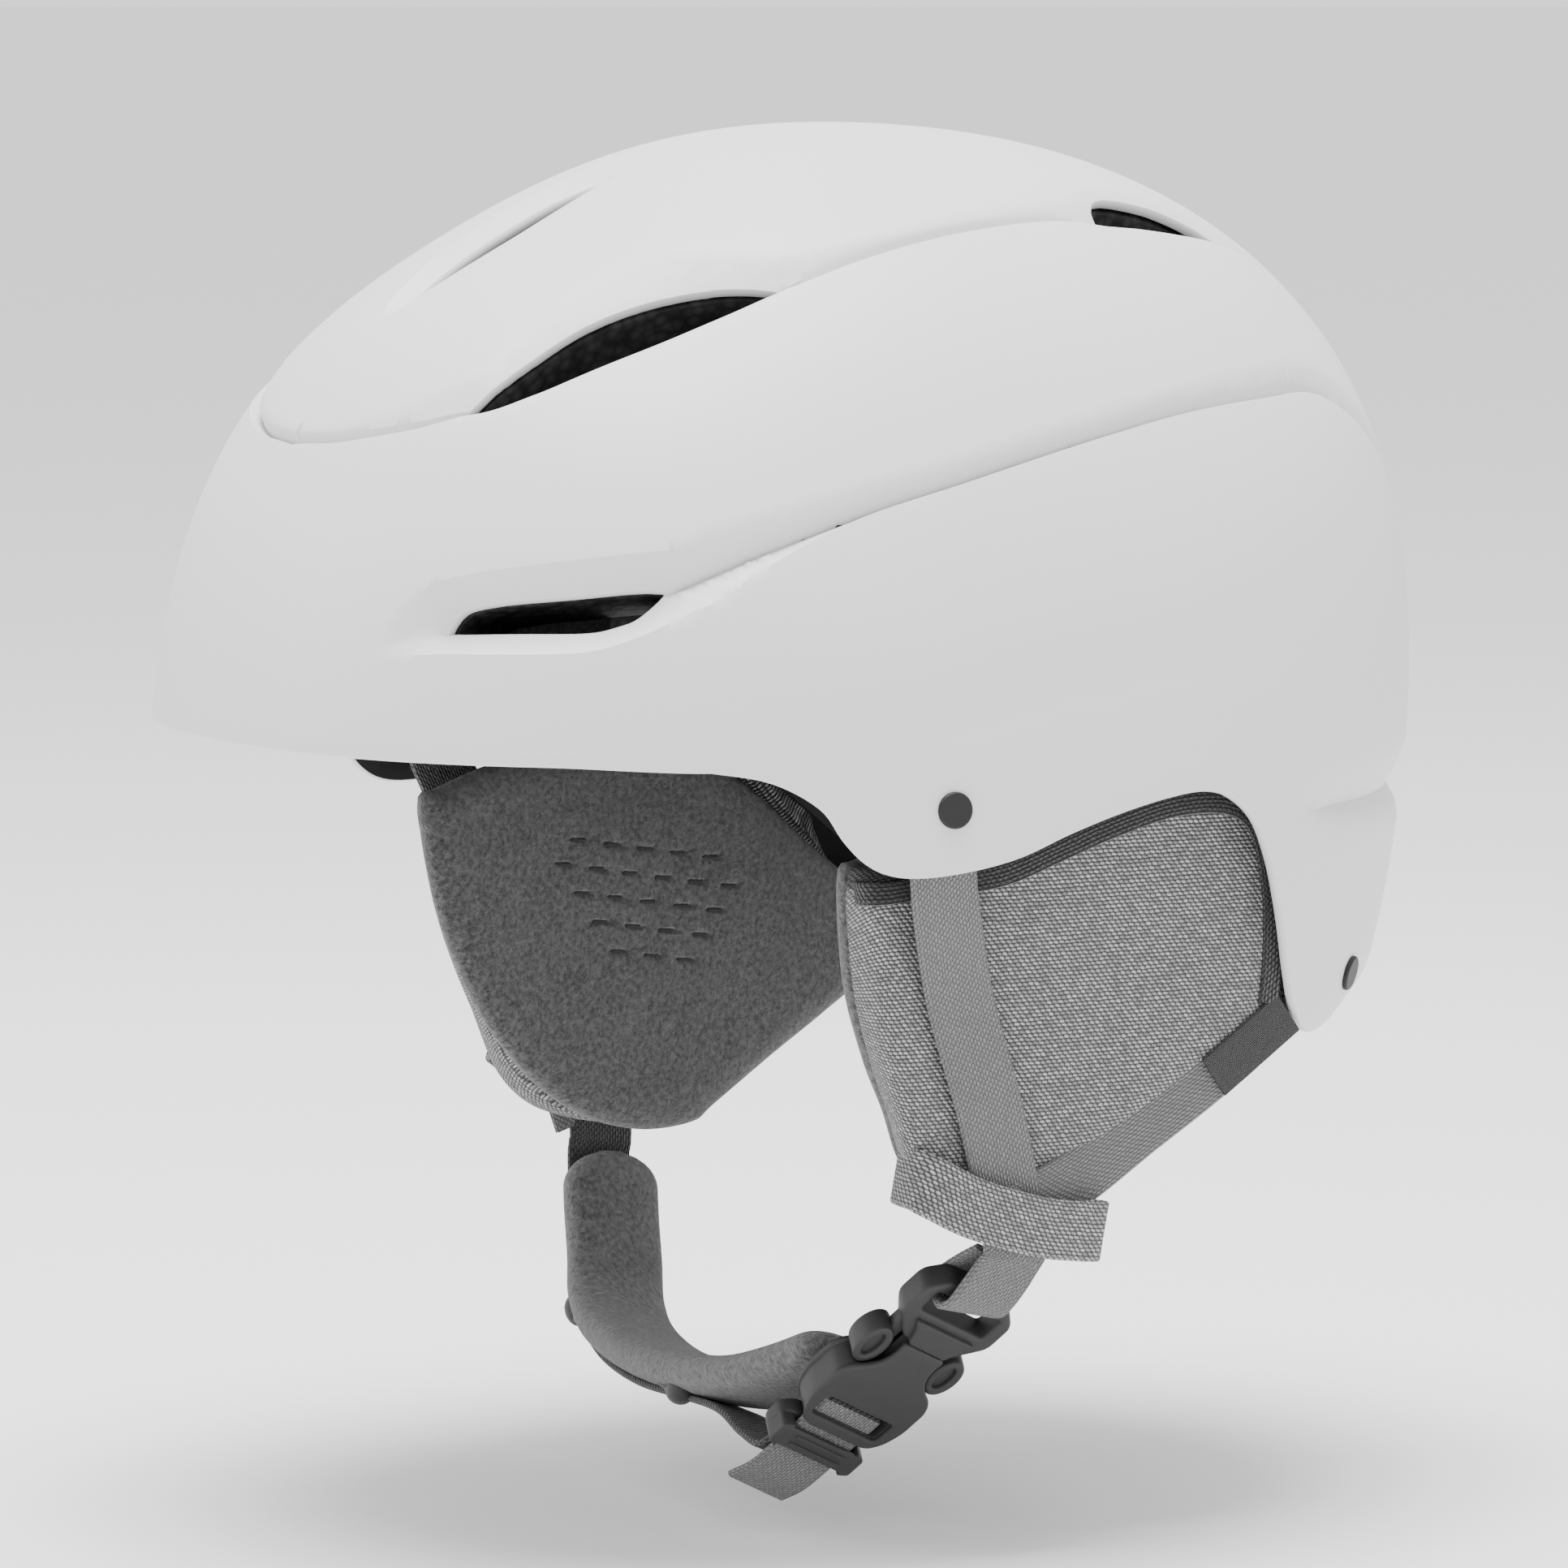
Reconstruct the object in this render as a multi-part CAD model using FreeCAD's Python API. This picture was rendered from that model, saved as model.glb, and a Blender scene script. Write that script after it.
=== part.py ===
import FreeCAD, Part
import math
import os

# Ski helmet, in millimetres. The origin is the midpoint of the wearer's ear axis,
# +X points to the wearer's left, -Y forward (the brow) and +Z up.
V = FreeCAD.Vector
os.makedirs("parts", exist_ok=True)

# ---------------------------------------------------------------- driving sizes
HALF_WIDTH = 108.0                  # outer shell, half of the side-to-side width
SURFACE_CENTRE_Z = 30.0             # the shell's radii are measured from here
POWER_TOP = 2.12                    # roundness of the cross section over the crown,
POWER_FRONT = 2.29                  # towards the brow
POWER_REAR = 2.17                   # and towards the nape
# radii of the side profile's control points, every 20 degrees from the rear over the crown
PROFILE = [128, 139, 150, 144, 135, 134, 131, 137, 132, 129, 130, 132, 133, 134, 134, 133, 131, 127]
SHELL_WALL = 2.2
LINER_GAP = 0.2
LINER_DEPTH = 24.0                  # outer surface to the liner's inner face
PAD_DEPTH = 29.5                    # outer surface to the comfort pads' inner face
WEBBING_WIDTH = 15.0
WEBBING = 1.5                       # webbing thickness

# lower edge of the shell seen from the side, from brow to nape: (y, z)
RIM = [(-72, 45), (-63, 43.4), (-56.4, 40.6), (-51, 36.6), (-47.3, 31), (-43, 26.6), (-38, 24.2),
       (-31, 23.5), (-21, 24.4), (-10.6, 26.5), (0.5, 30.4), (12, 33.7), (24, 36.1), (34, 36.8),
       (41, 34.9), (48, 29.6), (53, 21), (57, 10.8), (62, -3), (67, -12), (73, -16), (80, -15),
       (88, -11), (98, -7.5), (107, -3.5), (118, -1)]
BROW_Z = 46.0
NAPE_Z = 1.0
# lower edge of the foam liner: it stands back from the shell's edge and stops above the ears
LINER_RIM = [(-64, 49), (-52, 45), (40, 45), (58, 43), (67, 30), (73, 8), (80, 3)]
LINER_NAPE_Z = 5.0

# ear pads: the outer face leans in towards the jaw
PAD_FACE_X = 93.0                   # outer face at SURFACE_CENTRE_Z
PAD_LEAN = 0.11
FLEECE_DEPTH = 16.5                 # outer face to the fleece's inner face
CLIP_PLACES = (-12, 10, 32)          # y of the clips that the pads hang from

# buckle: it lies along AXIS from the left keeper; WIDE is across it and OUT away from the jaw
KEEPER = V(86, 4, -54)
AXIS = V(-0.66, -0.36, -0.66).normalize()
WIDE = V(-0.04, 0.894, -0.447).normalize()
OUT = AXIS.cross(WIDE)

# fit system at the nape
DIAL_Z = -12.0
RACK_Y = 96.5
PITCH_RADIUS = 5.2
TEETH = 10
BELT = 1.4                          # belt thickness
ANCHOR = (74.7, -42.0)              # belt hinge at the temple, x and y: on the belt's own line
ANCHOR_GAP = 1.1                    # belt to the anchor's flange, so that the belt can turn
ANCHOR_FLANGE = 3.4
EYE_Z = 48.5                        # height of the belt's eye and the anchor
TOOTH_PITCH = 2 * math.pi * PITCH_RADIUS / TEETH

Z_AXIS = V(0, 0, 1)


# ---------------------------------------------------------------- helpers
def save(name, *solids):
    shape = solids[0] if len(solids) == 1 else Part.makeCompound(list(solids))
    shape.exportStep("parts/" + name + ".step")


def box(x0, x1, y0, y1, z0, z1):
    return Part.makeBox(x1 - x0, y1 - y0, z1 - z0, V(x0, y0, z0))


def rounded_box(x0, x1, y0, y1, z0, z1, radius):
    solid = box(x0, x1, y0, y1, z0, z1)
    return solid.makeFillet(radius, solid.Edges)


def mirrored(shape):
    return shape.mirror(V(0, 0, 0), V(1, 0, 0))


def smooth_edge(points, closed=False):
    curve = Part.BSplineCurve()
    curve.interpolate(Points=points, PeriodicFlag=closed)
    return curve.toShape()


def side_prism(open_points, lines, half_width=160.0):
    """Prism along X: a smooth edge through open_points, closed by straight lines. Points are (y, z)."""
    curve = smooth_edge([V(-half_width, y, z) for y, z in open_points])
    corners = [V(-half_width, y, z) for y, z in [open_points[-1]] + lines + [open_points[0]]]
    wire = Part.Wire([curve] + Part.makePolygon(corners).Edges)
    return Part.Face(wire).extrude(V(2 * half_width, 0, 0))


def closed_prism(points, smooth=True, half_width=160.0):
    """Prism along X of a closed outline of (y, z) points."""
    corners = [V(-half_width, y, z) for y, z in points]
    wire = Part.Wire([smooth_edge(corners, True)]) if smooth else Part.makePolygon(corners + corners[:1])
    return Part.Face(wire).extrude(V(2 * half_width, 0, 0))


# ---------------------------------------------------------------- the helmet's outer surface
def profile_radius(angle):
    """Radius of the side profile at an angle in degrees: 0 is the nape, 90 the crown, 180 the brow."""
    place = (angle % 360.0) / 20.0
    i = int(place)
    t = place - i
    weights = [(1 - t) ** 3, 3 * t ** 3 - 6 * t ** 2 + 4, -3 * t ** 3 + 3 * t ** 2 + 3 * t + 1, t ** 3]
    return sum(w * PROFILE[(i + k - 1) % 18] for k, w in enumerate(weights)) / 6.0


def level(x, y, z, inset=0.0):
    """1 on the surface that lies inset under the helmet's outer surface, less inside it."""
    up = z - SURFACE_CENTRE_Z
    angle = math.degrees(math.atan2(up, y))
    forward = math.cos(math.radians(angle))
    end_power = POWER_FRONT if forward < 0 else POWER_REAR
    power = POWER_TOP + (end_power - POWER_TOP) * forward ** 2
    radius = profile_radius(angle) - inset
    across = abs(x) / (HALF_WIDTH - inset)
    return (across ** power + (math.hypot(y, up) / radius) ** power) ** (1 / power)


def reach(start, direction, inset=0.0):
    """Where a ray from a point inside meets the inset surface."""
    near, far = 0.0, 220.0
    for _ in range(40):
        middle = (near + far) / 2
        p = start + direction * middle
        if level(p.x, p.y, p.z, inset) < 1:
            near = middle
        else:
            far = middle
    return start + direction * near


def normal_at(p):
    step = 0.5
    slope = [level(*(p + d * step)) - level(*(p - d * step)) for d in (V(1, 0, 0), V(0, 1, 0), V(0, 0, 1))]
    return V(*slope).normalize()


def egg(inset):
    """Closed solid inside the inset surface, flat at its foot, below everything that is kept."""
    middle_y = 8.0
    foot = -45.0
    crown = reach(V(0, middle_y, SURFACE_CENTRE_Z), Z_AXIS, inset).z
    count = 24
    steps = [k / count for k in range(count + 1)]
    wires = []
    for share in (0, 0.13, 0.26, 0.38, 0.5, 0.61, 0.71, 0.79, 0.86, 0.915, 0.955, 0.982, 0.997):
        start = V(0, middle_y, foot + (crown - foot) * share)
        turns = [math.radians(360 * s) for s in steps[:-1]]
        points = [reach(start, V(math.cos(a), math.sin(a), 0), inset) for a in turns]
        curve = Part.BSplineCurve()
        curve.interpolate(Points=points, Parameters=steps, PeriodicFlag=True)
        wires.append(Part.Wire([curve.toShape()]))
    return Part.makeLoft(wires, True, False)


EGGS = {}


def layer(outer, inner):
    for inset in (outer, inner):
        if inset not in EGGS:
            EGGS[inset] = egg(inset)
    return EGGS[outer].cut(EGGS[inner])


def vent(points, depth=40.0):
    """Cutter through a vent's outline of points on the surface, along its mean normal."""
    places = [V(*p) for p in points]
    middle = places[0]
    for p in places[1:]:
        middle = middle + p
    middle = middle * (1.0 / len(places))
    along = normal_at(middle)
    foot = [p - along * ((p - middle).dot(along) + depth) for p in places]
    return Part.Face(Part.Wire([smooth_edge(foot, True)])).extrude(along * (depth + 15))


# vent outlines on the wearer's left, points on the outer surface
UPPER_VENT = [(46.9, -94, 111.7), (48.8, -77.9, 124.2), (53.7, -58.9, 132.1), (62.4, -42.9, 132.2),
              (60.5, -59, 126.4), (54.5, -81.1, 117.5)]
BROW_VENT = [(56.1, -110.7, 71), (62.7, -103.7, 76.9), (73.9, -92.2, 78.7), (84.5, -76.3, 79.4),
             (83.3, -81.5, 74), (75, -94, 70.6)]
REAR_VENT = [(50.7, 43.9, 147.4), (44.5, 60.1, 146.9), (44.8, 76.8, 139.8), (53.5, 50.4, 144)]
CROWN_VENT = [(0, -84, 134), (4, -66, 144.5), (0, -43, 155.4), (-4, -66, 144.5)]
NAPE_VENT = [(20, 128.5, 72), (38, 121, 75), (46, 116, 70), (38, 122, 66), (20, 129.5, 64)]


def vents():
    left = [vent(v) for v in (UPPER_VENT, BROW_VENT, REAR_VENT, NAPE_VENT)]
    return left + [mirrored(v) for v in left] + [vent(CROWN_VENT)]


# ---------------------------------------------------------------- shell, liner and comfort pads
def rivet_places():
    """Points on the left side of the shell where the straps are riveted: front, rear."""
    front = reach(V(0, -25.4, 35.9), V(1, 0, 0))
    rear = reach(V(0, 0, -6), V(76.5, 85.5, 0).normalize())
    return front, rear


def make_shell_and_liner(cutters):
    shell_edge = side_prism(RIM, [(150, NAPE_Z), (150, 180), (-150, 180), (-150, BROW_Z)])
    shell = layer(0.0, SHELL_WALL).common(shell_edge)
    liner_edge = side_prism(LINER_RIM, [(150, LINER_NAPE_Z), (150, 180), (-150, 180), (-150, 49)])
    liner = layer(SHELL_WALL + LINER_GAP, LINER_DEPTH).common(liner_edge)
    for cutter in cutters:
        shell = shell.cut(cutter)
        liner = liner.cut(cutter)
    for place in rivet_places():
        along = normal_at(place)
        hole = Part.makeCylinder(2.6, 10, place - along * 6, along)
        shell = shell.cut(hole).cut(mirrored(hole))
    liner = liner.cut(box(-13.3, 13.3, 83, 130, LINER_NAPE_Z - 4, 15.3))
    strap_pocket = box(98.5, 106.0, -34, -15, 36, 46)
    pockets = [box(85.3, 99.7, y - 6.2, y + 6.2, 38.0, 45.0) for y in CLIP_PLACES] + [strap_pocket]
    for pocket in pockets:
        liner = liner.cut(pocket).cut(mirrored(pocket))
    anchor_place = V(ANCHOR[0] + BELT, ANCHOR[1], EYE_Z)
    anchor_hole = Part.makeCylinder(ANCHOR_FLANGE + 0.1, 12, anchor_place, V(1, 0, 0))
    liner = liner.cut(anchor_hole).cut(mirrored(anchor_hole))
    save("outer_shell", shell)
    save("foam_liner", liner)


def make_comfort_pads():
    sheet = layer(LINER_DEPTH + 0.3, PAD_DEPTH)
    save("brow_pad", sheet.common(box(-70, 70, -140, -62, 53, 76)))
    save("crown_pad", sheet.common(box(-17, 17, -38, 62, 60, 160)))
    side = sheet.common(box(40, 100, -26, 46, 66, 90))
    save("side_pad_left", side)
    save("side_pad_right", mirrored(side))
    nape = sheet.common(box(-38, 38, 40, 140, 40, 66))
    save("nape_pad", nape)


def make_rivets():
    heads = []
    plates = []
    for place in rivet_places():
        along = normal_at(place)
        head = Part.makeCylinder(3.6, 0.9, place + along * 0.02, along)
        head = head.makeFillet(0.5, [e for e in head.Edges if (e.CenterOfMass - place).dot(along) > 0.7])
        shank = Part.makeCylinder(2.5, 7.8, place - along * 7.4, along)
        rivet = head.fuse(shank).removeSplitter()
        plate = Part.makeCylinder(5.0, 1.0, place - along * 8.4, along)
        plate = plate.cut(Part.makeCylinder(2.55, 3.0, place - along * 9.4, along))
        heads += [rivet, mirrored(rivet)]
        plates += [plate, mirrored(plate)]
    save("strap_rivets", *heads)
    save("rivet_washers", *plates)


# ---------------------------------------------------------------- ear pads
FACE_OUTLINE = [(-41, 28), (-39, 8), (-34.5, -8), (-28, -24), (-24, -38), (-13, -50), (3, -54), (18, -50),
                (38, -37), (51, -24), (57.5, -11), (55.5, 6), (52, 19), (46, 29), (38, 34), (24, 34.5),
                (0, 34), (-24, 34)]
FLEECE_OUTLINE = [(-43, 20), (-40, 0), (-35, -16), (-29, -27), (-20, -38), (-8, -46.5), (6, -51), (20, -48.5),
                  (39, -37), (53, -26), (58.5, -16), (58.5, -4), (49, 8), (34, 21), (20, 24), (-20, 24),
                  (-38, 24)]


def scaled(outline, inset):
    """The outline pulled in by about inset millimetres."""
    middle_y = sum(p[0] for p in outline) / len(outline)
    middle_z = sum(p[1] for p in outline) / len(outline)
    pulled = []
    for y, z in outline:
        far = math.hypot(y - middle_y, z - middle_z)
        keep = 1 - inset / far
        pulled.append((middle_y + (y - middle_y) * keep, middle_z + (z - middle_z) * keep))
    return pulled


def leaning_slab(depth_out, depth_in):
    """Slab between two planes parallel to the ear pad's outer face, depths measured inwards."""
    low, high = -70.0, 50.0
    corners = []
    for depth, z in ((depth_in, low), (depth_out, low), (depth_out, high), (depth_in, high)):
        corners.append(V(PAD_FACE_X - depth + PAD_LEAN * (z - SURFACE_CENTRE_Z), -80, z))
    return Part.Face(Part.makePolygon(corners + corners[:1])).extrude(V(0, 180, 0))


def make_ear_pads():
    face_prism = closed_prism(FACE_OUTLINE)
    inner_prism = closed_prism(scaled(FACE_OUTLINE, 2.2))
    edge_ring = face_prism.cut(closed_prism(scaled(FACE_OUTLINE, 2.1)))
    pieces = {
        "ear_pad_cover": leaning_slab(0, 3.0).common(inner_prism),
        "ear_pad_piping": leaning_slab(0.4, 3.0).common(edge_ring),
        "ear_pad_stiffener": leaning_slab(3.1, 4.3).common(closed_prism(scaled(FACE_OUTLINE, 5.0))),
        "ear_pad_foam": leaning_slab(4.4, 12.8).common(closed_prism(scaled(FLEECE_OUTLINE, 3.0))),
        "ear_pad_fleece": leaning_slab(12.9, FLEECE_DEPTH).common(closed_prism(FLEECE_OUTLINE)),
    }
    tab = [(41, -21), (56, -5), (52.5, -2), (37.5, -18)]
    pieces["ear_pad_tab"] = leaning_slab(-0.8, -0.1).common(closed_prism(tab, smooth=False))
    for name, solid in pieces.items():
        save(name + "_left", solid)
        save(name + "_right", mirrored(solid))


def make_pad_clips():
    """Plastic clips on the liner's edge that the ear pads hang from."""
    clips = []
    for y in CLIP_PLACES:
        clip = rounded_box(85.5, 99.5, y - 6, y + 6, 38.2, 44.8, 1.2)
        clips += [clip, mirrored(clip)]
    save("ear_pad_clips", *clips)


# ---------------------------------------------------------------- straps on the ear pads
def plan_ribbon(points, axis, y_range):
    """Webbing whose line is given in a plane and runs along axis. Used with a side outline."""
    half = WEBBING / 2
    offsets = {1: [], -1: []}
    for k, p in enumerate(points):
        before = points[max(k - 1, 0)]
        after = points[min(k + 1, len(points) - 1)]
        along = (after - before).normalize()
        sideways = axis.cross(along)
        for sign in (1, -1):
            offsets[sign].append(p + sideways * (sign * half))
    loop = offsets[1] + offsets[-1][::-1]
    return Part.Face(Part.makePolygon(loop + loop[:1])).extrude(axis * y_range)


FRONT_STRAP_LINE = [(102.6, 45), (101.8, 30), (96.6, 14), (90.9, -4), (85.5, -50.2)]      # (x, z)
FRONT_STRAP_SIDE = [(-32.3, 42), (-17.3, 42), (-11, 22), (5.2, -38), (9, -50.2), (-6, -50.2),
                    (-9, -38), (-26, 22)]
REAR_STRAP_LINE = [(70.4, 88.5), (73.2, 84.1), (79.1, 72.7), (85.6, 64.8), (89.4, 57), (89.2, 40), (88.6, 20),
                   (88.2, -3)]                                                       # (x, y)
REAR_STRAP_SIDE = [(91, 1), (88, -14), (64, -17), (52, -30), (24, -45), (6, -51.5), (-2, -51.5), (-1, -42),
                   (18, -37), (45, -23), (57.5, -8.5), (80, 1)]
FRONT_SPLIT_Z = 20.0                # above it the strap stays with the shell on the right side
REAR_SPLIT_Y = 60.0
SPLIT_GAP = 1.6


def make_side_straps():
    front = plan_ribbon([V(x, -60, z) for x, z in FRONT_STRAP_LINE], V(0, 1, 0), 100)
    front = front.common(closed_prism(FRONT_STRAP_SIDE, smooth=False))
    rear = plan_ribbon([V(x, y, -60) for x, y in REAR_STRAP_LINE], Z_AXIS, 80)
    rear = rear.common(closed_prism(REAR_STRAP_SIDE, smooth=False))
    front_place, rear_place = rivet_places()
    for place in (front_place, rear_place):
        along = normal_at(place)
        hole = Part.makeCylinder(2.55, 16, place - along * 14, along)
        front = front.cut(hole)
        rear = rear.cut(hole)
    ends = [front.common(box(60, 120, -60, 60, FRONT_SPLIT_Z + SPLIT_GAP, 60)),
            rear.common(box(50, 120, REAR_SPLIT_Y + SPLIT_GAP, 120, -60, 40))]
    front = front.common(box(60, 120, -60, 60, -80, FRONT_SPLIT_Z))
    rear = rear.common(box(50, 120, -60, REAR_SPLIT_Y, -60, 40))
    for side, turn in (("left", lambda s: s), ("right", mirrored)):
        save("strap_ends_" + side, *[turn(s) for s in ends])
        save("front_strap_" + side, turn(front))
        save("rear_strap_" + side, turn(rear))


def make_keepers():
    """Flat textile loops at the foot of the ear pads, which gather the straps."""
    outline = [(-24, -36), (-24, -48), (22, -57.5), (24, -46)]
    tall = closed_prism(outline, smooth=False)
    outer = leaning_slab(-6.6, -0.05).common(tall)
    inside = [(-22.5, -20), (-22.5, -70), (20.5, -70), (20.5, -20)]
    hollow = leaning_slab(-5.5, -0.45).common(closed_prism(inside, smooth=False))
    keeper = outer.cut(hollow)
    save("strap_keeper_left", keeper)
    save("strap_keeper_right", mirrored(keeper))


# ---------------------------------------------------------------- chin strap
def ribbon_sections(points, wides, width, thick):
    """Rectangular sections across a line of points, each turned to its own wide direction."""
    wires = []
    for k, p in enumerate(points):
        before = points[max(k - 1, 0)]
        after = points[min(k + 1, len(points) - 1)]
        along = (after - before).normalize()
        wide = wides[k] - along * wides[k].dot(along)
        wide.normalize()
        out = along.cross(wide)
        corners = []
        for a, b in ((1, 1), (1, -1), (-1, -1), (-1, 1)):
            corners.append(p + wide * (a * width / 2) + out * (b * thick / 2))
        wires.append(Part.makePolygon(corners + corners[:1]))
    return wires


def ribbon(points, wides, width, thick):
    return Part.makeLoft(ribbon_sections(points, wides, width, thick), True, True)


def turn_share(count, last):
    """Wide directions that turn evenly from +Y to the last one."""
    start = V(0, 1, 0)
    return [start * (1 - k / (count - 1)) + last * (k / (count - 1)) for k in range(count)]


def on_buckle(along, wide, out):
    return KEEPER + AXIS * along + WIDE * wide + OUT * out


CHIN_PAD_LINE = [(-79.3, 4.2, -58.5), (-77, 3, -67), (-72, 1, -78), (-65, -2.5, -86), (-53, -6, -91),
                 (-30, -11, -93), (-5, -14, -92.5), (16, -15.5, -90), (34, -14, -85), (48, -11, -79.5)]
CHIN_PAD_WIDTH = 21.0
CHIN_PAD_THICK = 8.0
STRAP_UNDER_PAD = 5.3               # chin pad's middle to the webbing's middle


def under_pad(distance):
    """The chin pad's line moved outwards by a distance."""
    line = [V(*p) for p in CHIN_PAD_LINE]
    moved = []
    for k, p in enumerate(line):
        along = (line[min(k + 1, len(line) - 1)] - line[max(k - 1, 0)]).normalize()
        moved.append(p + V(0, -1, 0).cross(along).normalize() * -distance)
    return moved


def make_chin_strap():
    end_line = [V(85.9, 2, -51.2), V(84.6, 2.6, -56.5), on_buckle(6, 0, 0), on_buckle(13.7, 0, 0)]
    save("chin_strap_left", ribbon(end_line, turn_share(4, WIDE), WEBBING_WIDTH, WEBBING))
    line = [V(-85.9, 2, -51.2), V(-85.7, 2.6, -54.6)] + under_pad(STRAP_UNDER_PAD)[:7]
    line += [V(14, -17.5, -97.5), V(28, -20.3, -100.2), on_buckle(72.0, 0, -1.2), on_buckle(66.8, 0, -1.2)]
    save("chin_strap_right", ribbon(line, turn_share(len(line), WIDE), WEBBING_WIDTH, WEBBING))
    pad_line = [V(*p) for p in CHIN_PAD_LINE]
    pad = ribbon(pad_line, turn_share(len(pad_line), WIDE), CHIN_PAD_WIDTH, CHIN_PAD_THICK)
    save("chin_pad", pad)
    loops = []
    wides = turn_share(len(line), WIDE)
    for k in (5, 8):
        p = line[k]
        along = (line[k + 1] - line[k - 1]).normalize()
        wide = (wides[k] - along * wides[k].dot(along)).normalize()
        away = V(0, -1, 0).cross(along).normalize() * -1
        outer = ribbon([p - along * 1.2, p + along * 1.2], [wide] * 2, WEBBING_WIDTH + 2.0, WEBBING + 0.8)
        inner = ribbon([p - along * 3, p + along * 3], [wide] * 2, WEBBING_WIDTH + 0.6, WEBBING + 0.3)
        knot = Part.makeSphere(1.9, p - wide * (WEBBING_WIDTH / 2 + 1.4) + away * 1.2)
        loops.append(outer.cut(inner).fuse(knot).removeSplitter())
    save("chin_pad_elastics", *loops)
    tail = [on_buckle(54, 0, 2.0), on_buckle(70, 0, 2.0), on_buckle(80, 0, 2.6), on_buckle(91, 0, 4.4)]
    save("strap_tail", ribbon(tail, [WIDE] * 4, WEBBING_WIDTH, WEBBING))


# ---------------------------------------------------------------- buckle
def on_buckle_frame(shape):
    """Moves a shape drawn with x along AXIS, y along WIDE and z along OUT into place."""
    matrix = FreeCAD.Matrix(AXIS.x, WIDE.x, OUT.x, KEEPER.x,
                            AXIS.y, WIDE.y, OUT.y, KEEPER.y,
                            AXIS.z, WIDE.z, OUT.z, KEEPER.z, 0, 0, 0, 1)
    copy = shape.copy()
    copy.Placement = FreeCAD.Placement(matrix)
    return copy


ARM_PIVOT = (28.0, 7.4)             # along and across the buckle


def make_buckle():
    base = rounded_box(14.0, 31.0, -10.8, 10.8, -2.6, 2.6, 1.1)
    base = base.cut(box(17.2, 22.6, -8.2, 8.2, -5, 5))
    tongue = box(30.0, 45.0, -3.0, 3.0, -1.3, 1.3)
    insert = base.fuse(tongue).removeSplitter()
    for side in (1, -1):
        insert = insert.cut(box(26.0, 32.0, *sorted((side * 4.8, side * 12.0)), -1.8, 1.8))
    insert = insert.removeSplitter()
    save("buckle_insert", on_buckle_frame(insert))
    for name, side in (("front", -1), ("rear", 1)):
        stem = box(27.0, 40.0, 6.0, 8.8, -1.5, 1.5)
        eye = Part.makeCylinder(1.45, 3.0, V(ARM_PIVOT[0], ARM_PIVOT[1], -1.5), Z_AXIS)
        pad = rounded_box(31.8, 39.6, 7.6, 12.6, -2.4, 2.4, 1.1)
        barb_points = [V(38.5, 6.0, -1.5), V(45.5, 6.0, -1.5), V(41.0, 9.4, -1.5), V(38.5, 9.4, -1.5)]
        barb = Part.Face(Part.makePolygon(barb_points + barb_points[:1])).extrude(V(0, 0, 3.0))
        arm = stem.fuse([eye, pad, barb]).removeSplitter()
        if side < 0:
            arm = arm.mirror(V(0, 0, 0), V(0, 1, 0))
        save("release_arm_" + name, on_buckle_frame(arm))
    body = rounded_box(31.6, 59.0, -11.6, 11.6, -4.6, 4.6, 1.6)
    cavity = box(30.0, 48.0, -10.1, 10.1, -3.2, 3.2)
    windows = box(30.0, 40.4, 6.2, 14.0, -3.2, 3.2)
    slot = box(50.5, 56.0, -8.4, 8.4, -6, 6)
    tail_way = box(55.0, 60.0, -8.1, 8.1, 0.7, 3.3)
    socket = body.cut(cavity).cut(slot).cut(tail_way)
    socket = socket.cut(windows).cut(windows.mirror(V(0, 0, 0), V(0, 1, 0)))
    save("buckle_socket", on_buckle_frame(socket))
    frame = rounded_box(60.0, 69.0, -10.6, 10.6, -3.4, 4.2, 1.2)
    frame = frame.cut(box(58.0, 71.0, -8.1, 8.1, 0.7, 3.3))
    frame = frame.cut(box(66.0, 71.0, -8.1, 8.1, -2.4, 0.1))
    save("strap_adjuster", on_buckle_frame(frame))


# ---------------------------------------------------------------- fit system
def belt_line():
    """Plan of the left belt from the temple to the rack, as points at the belt's middle."""
    half, length, power = 80.0, 97.0, 2.3
    points = []
    for y in (-42, -24, -6, 12, 30, 46, 60, 72, 82, 89, 92.8):
        points.append(V(half * (1 - (abs(y) / length) ** power) ** (1 / power), y, 0))
    return points


BELT_LOWER = [(-60, 43), (-20, 41), (8, 36), (34, 27), (50, 14), (64, 0), (76, -10.5), (85, -15),
              (92, -16), (100, -16), (112, -16)]
BELT_HEIGHT = 8.0
RACK_EDGE = 9.0                     # dial's centre to the rack's far edge


def tooth_row(x0, x1, tip_z, root_z):
    """Rack teeth between x0 and x1, from the root line to the tip line."""
    tip, root = 0.42, 1.15
    teeth = []
    x = x0 + TOOTH_PITCH / 2
    while x < x1 - 1:
        corners = [V(x - root, RACK_Y - BELT / 2, root_z), V(x + root, RACK_Y - BELT / 2, root_z),
                   V(x + tip, RACK_Y - BELT / 2, tip_z), V(x - tip, RACK_Y - BELT / 2, tip_z)]
        teeth.append(Part.Face(Part.makePolygon(corners + corners[:1])).extrude(V(0, BELT, 0)))
        x += TOOTH_PITCH
    return teeth


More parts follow.
